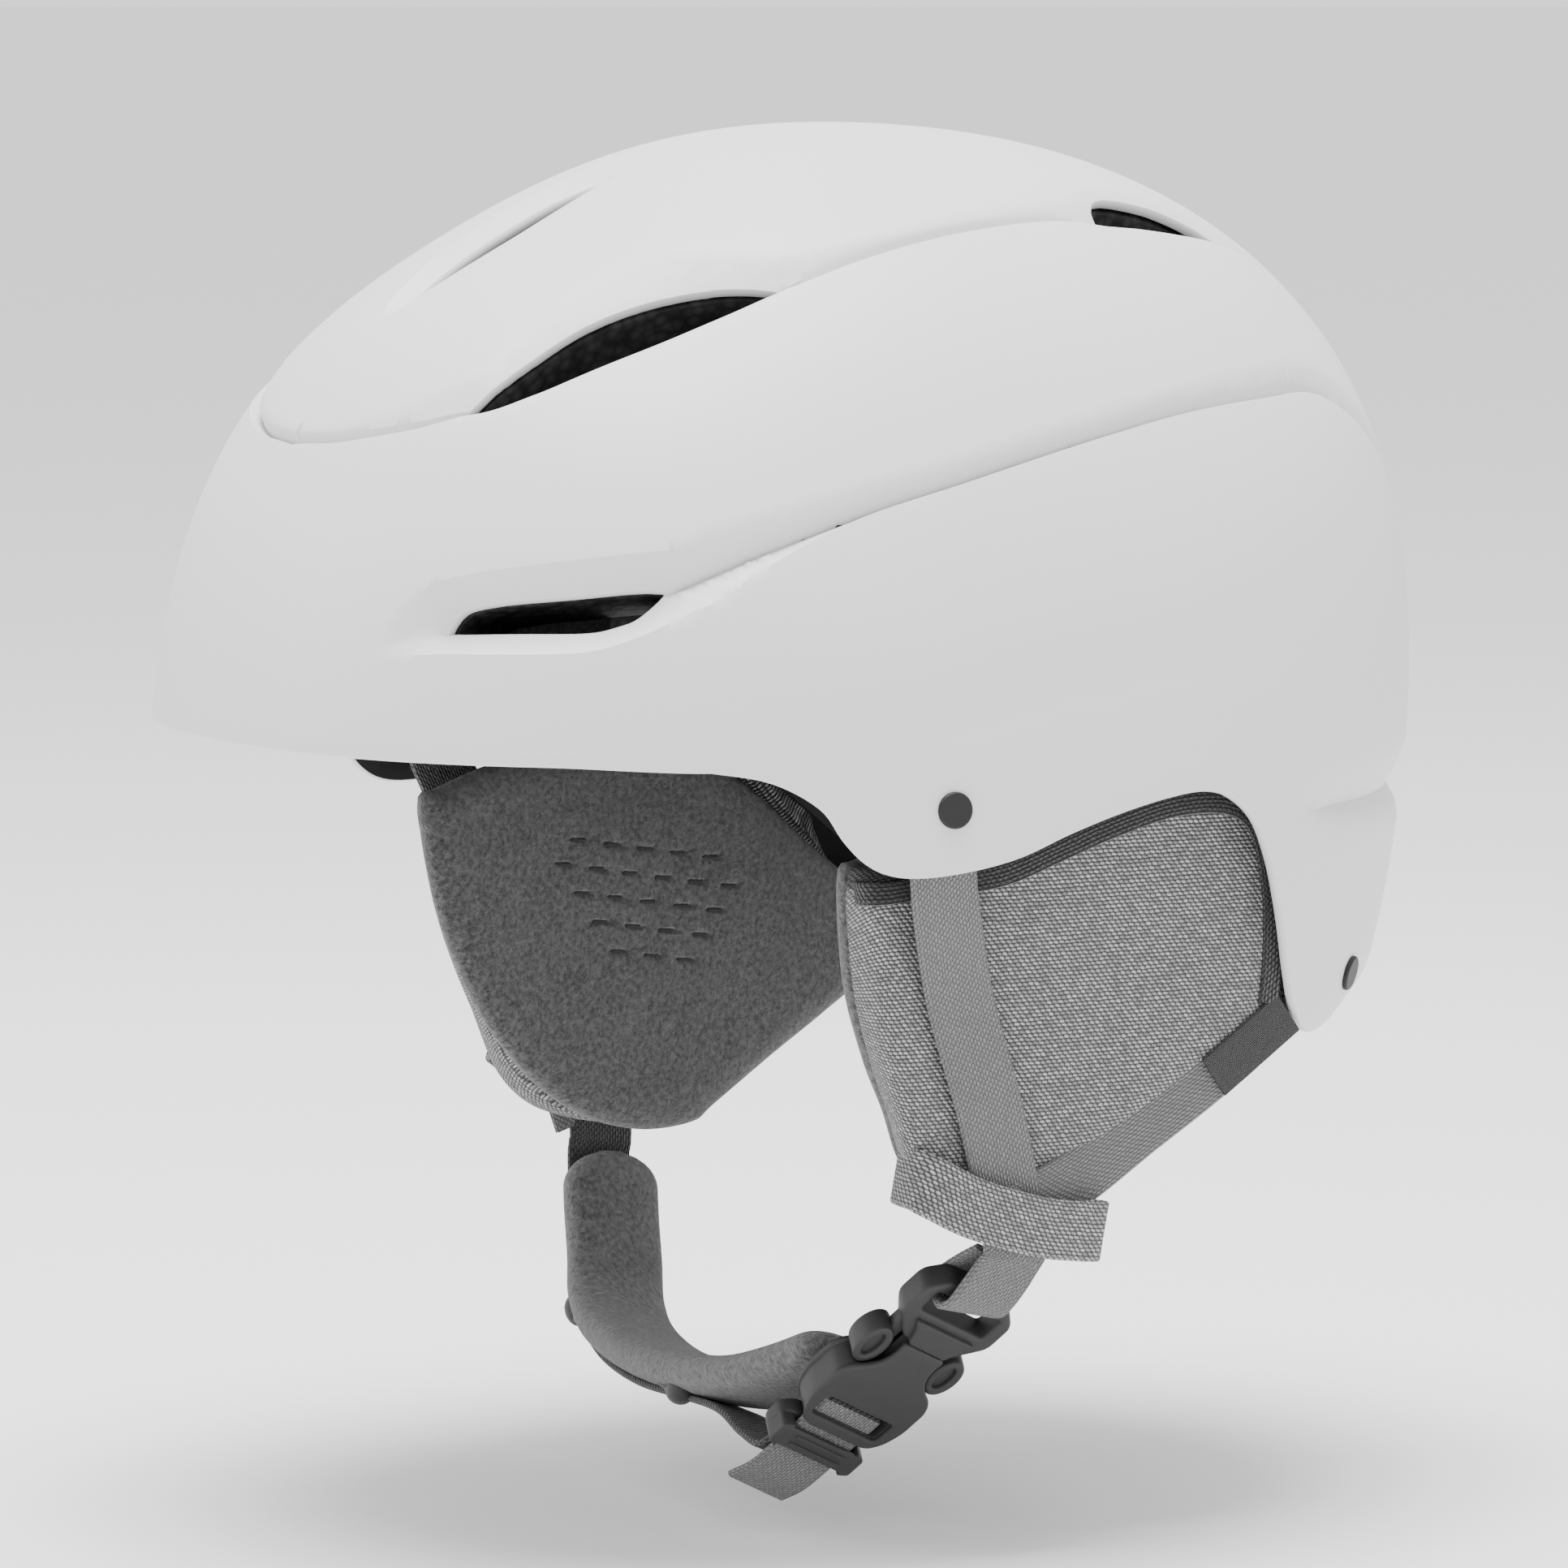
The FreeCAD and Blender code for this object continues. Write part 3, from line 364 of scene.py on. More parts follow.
def rim_line(side, brow_z, nape_z, step):
    """The left half of an edge from the brow's middle to the nape's middle."""
    flat = smooth_line([(0.0, y, z) for y, z in side], step)
    y_first, z_first = side[0]
    y_last, z_last = side[-1]
    turn = np.linspace(0, math.pi / 2, 60)[1:]
    y_brow = y_first + (middle_y(brow_z, -1) - y_first) * np.sin(turn)
    z_brow = z_first + (brow_z - z_first) * smoothstep(turn / 0.5)
    y_nape = y_last + (middle_y(nape_z, 1) - y_last) * np.sin(turn)
    z_nape = z_last + (nape_z - z_last) * smoothstep(turn / 0.5)
    y = np.concatenate([y_brow[::-1], flat[:, 1], y_nape])
    z = np.concatenate([z_brow[::-1], flat[:, 2], z_nape])
    line = np.stack([side_x(y, z), y, z], axis=1)
    line[0, 0] = line[-1, 0] = 0.0
    return on_surface(line)


# ---------------------------------------------------------------- mesh building
def make_object(name, verts, faces, material=None, smooth_angle=40.0):
    mesh = bpy.data.meshes.new(name)
    mesh.from_pydata([tuple(v) for v in np.asarray(verts) * MM], [], [tuple(f) for f in faces])
    mesh.validate()
    obj = bpy.data.objects.new(name, mesh)
    bpy.context.scene.collection.objects.link(obj)
    if material:
        mesh.materials.append(material)
    shade(mesh, smooth_angle)
    return obj


def shade(mesh, smooth_angle):
    mesh.polygons.foreach_set("use_smooth", [True] * len(mesh.polygons))
    mesh.set_sharp_from_angle(angle=math.radians(smooth_angle))


def thin_out(points, taken, gap):
    """Keeps points at least gap from each other and from the taken ones, which all stay."""
    cells = {}

    def cell(p):
        return tuple((p // gap).astype(int))

    def clear(p):
        i, j, k = cell(p)
        for a in (i - 1, i, i + 1):
            for b in (j - 1, j, j + 1):
                for c in (k - 1, k, k + 1):
                    for q in cells.get((a, b, c), ()):
                        if (p[0] - q[0]) ** 2 + (p[1] - q[1]) ** 2 + (p[2] - q[2]) ** 2 < gap * gap:
                            return False
        return True

    for p in taken:
        cells.setdefault(cell(p), []).append(p)
    kept = []
    for p in points:
        if clear(p):
            cells.setdefault(cell(p), []).append(p)
            kept.append(p)
    return np.array(kept) if kept else np.zeros((0, 3))


def ring_points(spacing, radius=130.0):
    """Points spread evenly over the left half of the surface, on rings around the crown."""
    rings = []
    step = spacing / radius
    for k in range(1, int(math.radians(125) / step)):
        polar = k * step
        count = max(3, int(math.pi * math.sin(polar) / step))
        turn = -math.pi / 2 + (np.arange(count) + 0.5) / count * math.pi
        rings.append(np.stack([np.cos(turn) * polar, np.sin(turn) * polar], axis=1))
    return from_plan(np.vstack(rings))


def half_sheet(edge, holes, lines, coarse, fine, reach):
    """Triangles over the left half of the surface, inside edge and outside holes.
    Points are fine apart within reach of the lines and holes, and coarse apart elsewhere."""
    near = np.vstack(list(holes) + list(lines))
    taken = np.vstack([edge, near])
    y0, y1 = edge[0], edge[-1]
    polar = np.arange(to_plan(y0[None])[0, 1] + 0.02, to_plan(y1[None])[0, 1], fine / 130.0)
    seam = from_plan(np.stack([np.zeros_like(polar), polar], axis=1))
    seam[:, 0] = 0.0
    seam = thin_out(seam, np.array([p for p in near if abs(p[0]) < 0.8 * fine] or [y0]), fine * 0.7)
    taken = np.vstack([taken, seam])
    close = ring_points(fine)
    close = close[distance_to(close, near[::2]) < reach]
    close = thin_out(close, taken, fine * 0.72)
    grid = ring_points(coarse)
    grid = grid[distance_to(grid, near[::2]) > reach]
    grid = thin_out(grid, np.vstack([taken, close]), coarse * 0.55)
    grid = np.vstack([close, grid])
    points, links = [], []

    def add(line, closed):
        line = line[line[:, 0] > -1e-6]
        start = len(points)
        points.extend(line.tolist())
        count = len(line)
        links.extend((start + k, start + k + 1) for k in range(count - 1))
        if closed:
            links.append((start + count - 1, start))

    add(edge, False)
    for hole in holes:
        half = hole[hole[:, 0] > -1e-6]
        if len(half) < len(hole):
            half = half[np.argsort(half[:, 1])]
            add(half, False)
        else:
            add(hole, True)
    for line in lines:
        add(line, False)
    points.extend(seam.tolist())
    ordered = sorted([k for k, p in enumerate(points) if abs(p[0]) < 1e-4],
                     key=lambda k: to_plan([points[k]])[0, 1])
    links.extend(zip(ordered[:-1], ordered[1:]))
    points.extend(grid.tolist())
    plan = to_plan(np.array(points))
    plan[:, 0] = np.where(np.abs(plan[:, 0]) < 1e-6, 0.0, plan[:, 0])
    result = delaunay_2d_cdt([Vector(p) for p in plan], links, [], 0, 1e-7)
    flat = np.array([tuple(v) for v in result[0]])
    faces = np.array([f for f in result[2] if len(f) == 3])
    middle = flat[faces].mean(axis=1)
    keep = inside(middle, np.vstack([to_plan(edge)])) & (middle[:, 0] > 0)
    for hole in holes:
        keep &= ~inside(middle, to_plan(hole))
    faces = faces[keep]
    a, b, c = (flat[faces[:, k]] for k in range(3))
    turn = (b[:, 0] - a[:, 0]) * (c[:, 1] - a[:, 1]) - (b[:, 1] - a[:, 1]) * (c[:, 0] - a[:, 0])
    faces = faces[np.abs(turn) > 1e-9]
    turn = turn[np.abs(turn) > 1e-9]
    faces[turn < 0] = faces[turn < 0][:, ::-1]
    used = np.unique(faces)
    index = np.full(len(flat), -1)
    index[used] = np.arange(len(used))
    p = from_plan(flat[used])
    p[np.abs(p[:, 0]) < 1e-3, 0] = 0.0
    return p, index[faces]


def thick_shell(p, faces, outer_depth, inner_depth, bulge):
    """A closed skin between two depths under the sheet, its edges rounded, mirrored to both sides."""
    n = outward(p)
    n[p[:, 0] == 0.0, 0] = 0.0
    n = unit(n)
    outer = p - n * outer_depth[:, None]
    inner = p - n * inner_depth[:, None]
    half_edges = [(f[k], f[(k + 1) % 3]) for f in faces for k in range(3)]
    known = set(half_edges)
    border = [e for e in half_edges if (e[1], e[0]) not in known]
    border = [e for e in border if not (p[e[0], 0] == 0.0 and p[e[1], 0] == 0.0)]
    push = {}
    for a, b in border:
        side = np.cross(unit(p[b] - p[a]), unit(n[a] + n[b]))
        for k in (a, b):
            push[k] = push.get(k, 0) + side
    count = len(p)
    verts = [outer, inner]
    rings = []
    total = 2 * count
    keys = sorted(push)
    place = {k: i for i, k in enumerate(keys)}
    direction = np.array([push[k] for k in keys])
    direction[p[keys, 0] == 0.0, 0] = 0.0
    direction = unit(direction)
    middle = (outer[keys] + inner[keys]) / 2
    half = (outer[keys] - inner[keys]) / 2
    round_share = np.minimum(1.0, 1.1 / np.linalg.norm(half, axis=1))[:, None]
    for turn in (30, 60, 90, 120, 150):
        c, s = math.cos(math.radians(turn)), math.sin(math.radians(turn))
        end = np.sign(c) * (1 - round_share) + c * round_share if turn != 90 else 0.0
        verts.append(middle + half * end + direction * (s * bulge))
        rings.append(total)
        total += len(keys)
    quads = []
    for a, b in border:
        i, j = place[a], place[b]
        chain_a = [a] + [r + i for r in rings] + [count + a]
        chain_b = [b] + [r + j for r in rings] + [count + b]
        for k in range(len(chain_a) - 1):
            quads.append((chain_b[k], chain_a[k], chain_a[k + 1], chain_b[k + 1]))
    all_verts = np.vstack(verts)
    all_faces = [tuple(f) for f in faces] + [tuple(f[::-1] + count) for f in faces] + quads
    on_seam = np.abs(all_verts[:, 0]) < 1e-6
    other = np.where(on_seam, np.arange(len(all_verts)), -1)
    other[~on_seam] = len(all_verts) + np.arange((~on_seam).sum())
    mirrored = all_verts[~on_seam] * (-1, 1, 1)
    flipped = [tuple(int(other[k]) for k in reversed(f)) for f in all_faces]
    return np.vstack([all_verts, mirrored]), [tuple(int(k) for k in f) for f in all_faces] + flipped


def paint_inside(obj, material):
    """Gives the faces that look inwards a finish of their own."""
    obj.data.materials.append(material)
    count = len(obj.data.polygons)
    centres, normals = np.empty(count * 3), np.empty(count * 3)
    obj.data.polygons.foreach_get("center", centres)
    obj.data.polygons.foreach_get("normal", normals)
    inward = np.sum(normals.reshape(-1, 3) * outward(centres.reshape(-1, 3) / MM), axis=1) < -0.6
    obj.data.polygons.foreach_set("material_index", inward.astype(np.int32))


def make_shell(material, inside_material):
    edge = rim_line(RIM, BROW_Z, NAPE_Z, 1.6)
    lines = []
    for crease in (brow_crease, side_crease):
        lines += [crease.p, crease.offset(-crease.below), crease.offset(crease.above)]
        lines += [crease.offset(np.full(len(crease.p), GROOVE_WIDE))]
    lines += [dish[1] for dish in dishes]
    p, faces = half_sheet(edge, HOLES, lines, 3.2, 1.5, 5.0)
    depth = shell_depth(p)
    verts, faces = thick_shell(p, faces, depth, depth + SHELL_WALL, 0.7)
    shell = make_object("shell", verts, faces, material, 32.0)
    paint_inside(shell, inside_material)
    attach(shell, "helmet")
    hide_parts("outer_shell")


def make_liner(material):
    edge = rim_line(LINER_RIM, LINER_BROW_Z, LINER_NAPE_Z, 3.0)
    p, faces = half_sheet(edge, [hole[::2] for hole in HOLES], [], 4.5, 2.6, 12.0)
    depth = shell_depth(p) + 0.6
    verts, faces = thick_shell(p, faces, depth + SHELL_WALL, np.full(len(p), LINER_DEPTH), 0.8)
    liner = make_object("liner", verts, faces, material, 50.0)
    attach(liner, "helmet")
    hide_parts("foam_liner")


# ---------------------------------------------------------------- materials
def new_material(name, colour, roughness, metallic=0.0, sheen=0.0, specular=0.5):
    material = bpy.data.materials.new(name)
    material.use_nodes = True
    shader = material.node_tree.nodes["Principled BSDF"]
    shader.inputs["Base Color"].default_value = (*colour, 1.0)
    shader.inputs["Roughness"].default_value = roughness
    shader.inputs["Metallic"].default_value = metallic
    shader.inputs["Sheen Weight"].default_value = sheen
    shader.inputs["Specular IOR Level"].default_value = specular
    return material


def node(material, kind, **settings):
    made = material.node_tree.nodes.new(kind)
    for key, value in settings.items():
        if key in made.inputs:
            made.inputs[key].default_value = value
        else:
            setattr(made, key, value)
    return made


def link(material, source, socket_out, target, socket_in):
    material.node_tree.links.new(source.outputs[socket_out], target.inputs[socket_in])


def shader_of(material):
    return material.node_tree.nodes["Principled BSDF"]


def add_bump(material, source, socket, strength, distance):
    bump = node(material, "ShaderNodeBump", Strength=strength, Distance=distance)
    link(material, source, socket, bump, "Height")
    link(material, bump, "Normal", shader_of(material), "Normal")
    return bump


def add_two_tone(material, source, socket, low, high, first=0.0, last=1.0):
    ramp = node(material, "ShaderNodeValToRGB")
    ramp.color_ramp.elements[0].position = first
    ramp.color_ramp.elements[0].color = (*low, 1.0)
    ramp.color_ramp.elements[1].position = last
    ramp.color_ramp.elements[1].color = (*high, 1.0)
    link(material, source, socket, ramp, "Fac")
    link(material, ramp, "Color", shader_of(material), "Base Color")
    return ramp


def object_noise(material, scale, detail=3.0, roughness=0.6):
    place = node(material, "ShaderNodeTexCoord")
    cloud = node(material, "ShaderNodeTexNoise", Scale=scale, Detail=detail, Roughness=roughness)
    link(material, place, "Object", cloud, "Vector")
    return cloud


def painted_shell():
    material = new_material("shell_white", (0.66, 0.66, 0.66), 0.46, specular=0.4)
    cloud = object_noise(material, 1400.0, 2.0)
    add_bump(material, cloud, "Fac", 0.06, 0.0002)
    return material


def black_foam():
    material = new_material("foam_black", (0.02, 0.02, 0.02), 0.62, specular=0.3)
    place = node(material, "ShaderNodeTexCoord")
    beads = node(material, "ShaderNodeTexVoronoi", Scale=420.0)
    link(material, place, "Object", beads, "Vector")
    add_two_tone(material, beads, "Distance", (0.030, 0.030, 0.031), (0.006, 0.006, 0.006), 0.1, 0.7)
    add_bump(material, beads, "Distance", 0.5, 0.0006)
    return material


def palette():
    """Materials by the record's slot names."""
    made = {"shell_white": painted_shell(), "foam_black": black_foam()}
    made["liner_fabric"] = fleece("liner_fabric", (0.012, 0.012, 0.013), (0.035, 0.035, 0.037), 500.0)
    made["soft_foam"] = made["foam_black"]
    made["fleece"] = fleece("fleece", (0.018, 0.018, 0.0185), (0.17, 0.17, 0.172), 900.0)
    made["ear_textile"] = weave("ear_textile", (0.24, 0.24, 0.24), (0.56, 0.56, 0.56), (0.05, 0.05, 0.05),
                                1.3, 0.8, 0.35)
    made["webbing"] = weave("webbing", (0.19, 0.19, 0.19), (0.24, 0.24, 0.24), (0.10, 0.10, 0.10),
                            1.3, 0.65, 0.2)
    # the same webbing made darker: painted shade for the right chin strap, which runs under the far side of
    # the helmet
    made["webbing_painted_shade"] = weave("webbing_painted_shade", (0.05, 0.05, 0.05), (0.075, 0.075, 0.075),
                                 (0.02, 0.02, 0.02), 1.3, 0.65, 0.2)
    made["piping"] = weave("piping", (0.03, 0.03, 0.03), (0.055, 0.055, 0.055), (0.008, 0.008, 0.008),
                           1.3, 0.8, 0.35)
    made["elastic"] = new_material("elastic", (0.02, 0.02, 0.02), 0.7, sheen=0.2)
    made["tab_black"] = weave("tab_black", (0.016, 0.016, 0.016), (0.024, 0.024, 0.024),
                              (0.008, 0.008, 0.008), 0.7, 0.35, 0.2)
    for name, colour in (("black_plastic", (0.008, 0.008, 0.008)), ("buckle_plastic", (0.03, 0.03, 0.031)),
                         ("rivet_grey", (0.012, 0.012, 0.0125)), ("retainer_white", (0.72, 0.72, 0.72))):
        made[name] = moulded(name, colour)
    made["shell_inside"] = new_material("shell_inside", (0.03, 0.03, 0.03), 0.7, specular=0.2)
    made["steel"] = new_material("steel", (0.55, 0.55, 0.56), 0.32, metallic=1.0)
    return made


def moulded(name, colour):
    """Moulded plastic with the fine grain of an etched tool."""
    material = new_material(name, colour, 0.52, specular=0.3)
    cloud = object_noise(material, 2600.0, 2.0)
    add_bump(material, cloud, "Fac", 0.12, 0.0002)
    return material


def fleece(name, low, high, scale):
    material = new_material(name, high, 0.95, sheen=0.55, specular=0.1)
    cloud = object_noise(material, scale, 6.0, 0.72)
    add_two_tone(material, cloud, "Fac", low, high, 0.36, 0.66)
    add_bump(material, cloud, "Fac", 0.9, 0.0012)
    return material


def maths(material, operation, *values):
    """A math node whose inputs are sockets, given as (node, output), or plain numbers."""
    made = node(material, "ShaderNodeMath", operation=operation)
    for k, value in enumerate(values):
        if isinstance(value, tuple):
            material.node_tree.links.new(value[0].outputs[value[1]], made.inputs[k])
        else:
            made.inputs[k].default_value = value
    return made, 0


def weave(name, dark, light, gap, length, height, slant):
    """Cloth whose yarns show as rows of slanting beads, in millimetres of the piece's own UV map."""
    material = new_material(name, light, 0.85, sheen=0.25, specular=0.2)
    place = node(material, "ShaderNodeTexCoord")
    shake = node(material, "ShaderNodeTexNoise", Scale=0.7, Detail=2.0)
    link(material, place, "UV", shake, "Vector")
    moved = node(material, "ShaderNodeVectorMath", operation="MULTIPLY_ADD")
    moved.inputs[1].default_value = (0.5, 0.5, 0.0)
    link(material, shake, "Color", moved, 0)
    link(material, place, "UV", moved, 2)
    split = node(material, "ShaderNodeSeparateXYZ")
    link(material, moved, "Vector", split, "Vector")
    down = maths(material, "DIVIDE", (split, "Y"), height)
    row = maths(material, "FLOOR", down)
    shift = maths(material, "MULTIPLY", row, 0.5)
    along = maths(material, "ADD", maths(material, "DIVIDE", (split, "X"), length), shift)
    across = maths(material, "SUBTRACT", maths(material, "FRACT", down), 0.5)
    travel = maths(material, "ADD", along, maths(material, "MULTIPLY", across, slant))
    beside = maths(material, "SUBTRACT", maths(material, "FRACT", travel), 0.5)
    squares = [maths(material, "MULTIPLY", side, side) for side in (across, beside)]
    away = maths(material, "SQRT", maths(material, "ADD", *squares))
    full = maths(material, "SUBTRACT", 1.0, maths(material, "MULTIPLY", away, 1.85))
    cell = node(material, "ShaderNodeCombineXYZ")
    for source, socket in ((maths(material, "FLOOR", travel), "X"), (row, "Y")):
        material.node_tree.links.new(source[0].outputs[source[1]], cell.inputs[socket])
    chance = node(material, "ShaderNodeTexWhiteNoise")
    link(material, cell, "Vector", chance, "Vector")
    tone = node(material, "ShaderNodeMix", data_type="RGBA")
    tone.inputs[6].default_value = (*dark, 1.0)
    tone.inputs[7].default_value = (*light, 1.0)
    link(material, chance, "Value", tone, 0)
    bead = node(material, "ShaderNodeMix", data_type="RGBA")
    bead.inputs[6].default_value = (*gap, 1.0)
    material.node_tree.links.new(tone.outputs[2], bead.inputs[7])
    ease = node(material, "ShaderNodeMapRange", interpolation_type="SMOOTHSTEP")
    ease.inputs["From Min"].default_value = 0.08
    ease.inputs["From Max"].default_value = 0.55
    material.node_tree.links.new(full[0].outputs[0], ease.inputs["Value"])
    link(material, ease, "Result", bead, 0)
    material.node_tree.links.new(bead.outputs[2], shader_of(material).inputs["Base Color"])
    add_bump(material, full[0], 0, 0.9, 0.0007)
    return material


# ---------------------------------------------------------------- swept and layered shapes
def make_sided(name, verts, faces, material, smooth_angle, flip, uv=None):
    """An object made for the wearer's left, or its mirror image where flip is true."""
    if flip:
        verts = verts * (-1, 1, 1)
    obj = make_object(name, verts, faces, material, smooth_angle)
    if uv is not None:
        add_uv(obj, uv)
    if flip:
        obj.data.flip_normals()
    return obj


def finished(obj, body, slot_name, *nodes):
    """Puts a piece on its body, with the CAD nodes it stands for; slot_name, the finish it takes, is not
    used.
    """
    if body:
        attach(obj, body)
    if nodes:
        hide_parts(*nodes)
    return obj


def add_uv(obj, uv):
    layer = obj.data.uv_layers.new(name="UVMap")
    layer.data.foreach_set("uv", np.asarray(uv, np.float32).ravel())


def ribbon_section(width, thick):
    """Outline of webbing across its length: flat faces and round edges."""
    half, edge = width / 2 - thick / 2, thick / 2
    flat = np.linspace(-half, half, 7)
    turn = np.radians([60, 30, 0, -30, -60])
    top = [(a, edge) for a in flat]
    right = [(half + edge * math.cos(t), edge * math.sin(t)) for t in turn]
    bottom = [(a, -edge) for a in flat[::-1]]
    left = [(-half - edge * math.cos(t), edge * math.sin(t)) for t in turn[::-1]]
    return np.array(top + right + bottom + left)


def oval_section(width, thick, power=2.6, count=36):
    turn = np.linspace(0, 2 * math.pi, count, endpoint=False)
    c, s = np.cos(turn), np.sin(turn)
    return np.stack([np.sign(c) * np.abs(c) ** (2 / power) * width / 2,
                     -np.sign(s) * np.abs(s) ** (2 / power) * thick / 2], axis=1)


def sweep(rows, section, step=1.5, end_round=0.0, closed=False):
    """Carries a section along rows of (place, wide direction). Gives verts, faces and a UV map
    in millimetres: along the line, and across it."""
    line = smooth_line(rows, step, closed)
    p, wide = line[:, :3], line[:, 3:6]
    if closed:
        along = unit(np.roll(p, -1, axis=0) - np.roll(p, 1, axis=0))
    else:
        along = unit(np.gradient(p, axis=0))
    wide = unit(wide - along * np.sum(wide * along, axis=1, keepdims=True))
    out = np.cross(along, wide)
    travel = np.concatenate([[0.0], np.cumsum(np.linalg.norm(np.diff(p, axis=0), axis=1))])
    size = np.ones(len(p))
    if end_round:
        near_end = np.clip(np.minimum(travel, travel[-1] - travel) / end_round, 0.02, 1.0)
        size = np.sqrt(1 - (1 - near_end) ** 2)
    spread = section[None, :, :] * size[:, None, None]
    verts = p[:, None, :] + wide[:, None, :] * spread[:, :, :1] + out[:, None, :] * spread[:, :, 1:]
    rings, count = verts.shape[:2]
    ends = np.linalg.norm(np.roll(section, -1, axis=0) - section, axis=1)
    around = np.concatenate([[0.0], np.cumsum(ends)])
    faces, uv = [], []
    last = rings if closed else rings - 1
    for i in range(last):
        j = (i + 1) % rings
        v0, v1 = travel[i], travel[i + 1] if i + 1 < rings else travel[i] + step
        for k in range(count):
            m = (k + 1) % count
            faces.append((i * count + k, i * count + m, j * count + m, j * count + k))
            uv += [(v0, around[k]), (v0, around[k + 1]), (v1, around[k + 1]), (v1, around[k])]
    if not closed:
        faces.append(tuple(range(count))[::-1])
        uv += [tuple(q) for q in section[::-1]]
        faces.append(tuple((rings - 1) * count + k for k in range(count)))
        uv += [tuple(q) for q in section]
    return verts.reshape(-1, 3), faces, uv


def strap(name, rows, width, thick, material, flip=False, **settings):
    verts, faces, uv = sweep(rows, ribbon_section(width, thick), **settings)
    return make_sided(name, verts, faces, material, 50.0, flip, uv)


def offset_loop(loop, distance):
    """The loop moved to its left, which is inwards where it runs anticlockwise."""
    ahead = unit(np.roll(loop, -1, axis=0) - loop)
    behind = unit(loop - np.roll(loop, 1, axis=0))
    middle = unit(ahead + behind)
    left = np.stack([-middle[:, 1], middle[:, 0]], axis=1)
    widen = 1 / np.maximum(0.5, np.sum(middle * ahead, axis=1, keepdims=True))
    return loop + left * distance * widen


def signed_area(loop):
    x, y = loop[:, 0], loop[:, 1]
    return 0.5 * np.sum(x * np.roll(y, -1) - y * np.roll(x, -1))


def slab(outline, holes, low, high, bevel):
    """A flat part between two heights with rounded edges, drawn on its own flat frame."""
    loops = [np.array(outline, float)] + [np.array(h, float) for h in holes]
    loops = [loop if (signed_area(loop) > 0) == (k == 0) else loop[::-1] for k, loop in enumerate(loops)]
    turn = np.radians([0, 30, 60, 90])
    levels = [(bevel * (1 - math.sin(t)), low + bevel * (1 - math.cos(t))) for t in turn]
    levels += [(inset, high + low - height) for inset, height in levels[::-1]]
    verts, faces = [], []
    for loop in loops:
        start = len(verts)
        count = len(loop)
        for inset, height in levels:
            verts += [(x, y, height) for x, y in offset_loop(loop, inset)]
        for k in range(len(levels) - 1):
            for i in range(count):
                j = (i + 1) % count
                a, b = start + k * count, start + (k + 1) * count
                faces.append((a + i, a + j, b + j, b + i))
    insets = [offset_loop(loop, bevel) for loop in loops]
    flat = np.vstack(insets)
    links, first, ids = [], 0, []
    start = 0
    for loop in loops:
        count = len(loop)
        links += [(first + k, first + (k + 1) % count) for k in range(count)]
        ids += [start + k for k in range(count)]
        first += count
        start += count * len(levels)
    result = delaunay_2d_cdt([Vector(q) for q in flat], links, [], 0, 1e-7)
    points = np.array([tuple(q) for q in result[0]])
    origin = [int(np.argmin(((flat - q) ** 2).sum(axis=1))) for q in points]
    top_step = {}
    start = 0
    for loop in loops:
        for k in range(len(loop)):
            top_step[start + k] = (len(levels) - 1) * len(loop)
        start += len(loop) * len(levels)
    for f in result[2]:
        middle = points[list(f)].mean(axis=0)[None]
        if inside(middle, insets[0])[0] and not any(inside(middle, h)[0] for h in insets[1:]):
            corner = [ids[origin[k]] for k in f]
            q = points[list(f)]
            if (q[1, 0] - q[0, 0]) * (q[2, 1] - q[0, 1]) - (q[1, 1] - q[0, 1]) * (q[2, 0] - q[0, 0]) < 0:
                corner = corner[::-1]
            faces.append(tuple(corner[::-1]))
            faces.append(tuple(k + top_step[k] for k in corner))
    return np.array(verts, float), faces


def joined(*meshes):
    verts, faces, first = [], [], 0
    for v, f in meshes:
        verts.append(v)
        faces += [tuple(k + first for k in face) for face in f]
        first += len(v)
    return np.vstack(verts), faces


def symmetric(half):
    """A closed outline from its half with the second coordinate above zero."""
    return [(a, b) for a, b in half] + [(a, -b) for a, b in half[::-1]]


def rounded(corners, radius, steps=5):
    """The polygon with every corner cut to an arc."""
    p = np.array(corners, float)
    out = []
    for k in range(len(p)):
        before, here, after = p[k - 1], p[k], p[(k + 1) % len(p)]
        reach = min(radius, 0.48 * np.linalg.norm(before - here), 0.48 * np.linalg.norm(after - here))
        a = here + unit(before - here) * reach
        b = here + unit(after - here) * reach
        for t in np.linspace(0, 1, steps):
            out.append((1 - t) ** 2 * a + 2 * t * (1 - t) * here + t * t * b)
    return np.array(out)


def oval(centre, radii, count=32):
    turn = np.linspace(0, 2 * math.pi, count, endpoint=False)
    return np.stack([centre[0] + radii[0] * np.cos(turn), centre[1] + radii[1] * np.sin(turn)], axis=1)


# ---------------------------------------------------------------- ear pads
PAD_FACE_X, PAD_LEAN = 93.0, 0.11
PAD_MIDDLE = np.array((10.0, -8.0))
# outlines of the pad's outer face and of its fleece face: (y, z)
FACE_OUTLINE = [(-34, 19), (-33, 8), (-30.5, -8), (-26, -24), (-21.5, -38), (-13, -46), (0, -48), (13, -42),
                (30, -31), (47, -20), (59, -11), (62, 2), (60, 17), (54, 31), (43, 38), (26, 38), (2, 34),
                (-20, 26)]
FLEECE_OUTLINE = [(-43, 21), (-40.5, 0), (-35, -16), (-29, -27), (-20, -38), (-8, -46.5), (6, -50.5),
                  (18.5, -49.8), (24, -46.5), (39, -37), (53, -28.5), (63, -21.5), (66, -13), (61, -1),
                  (50, 9), (34, 23), (18, 30), (-20, 29), (-39, 24)]
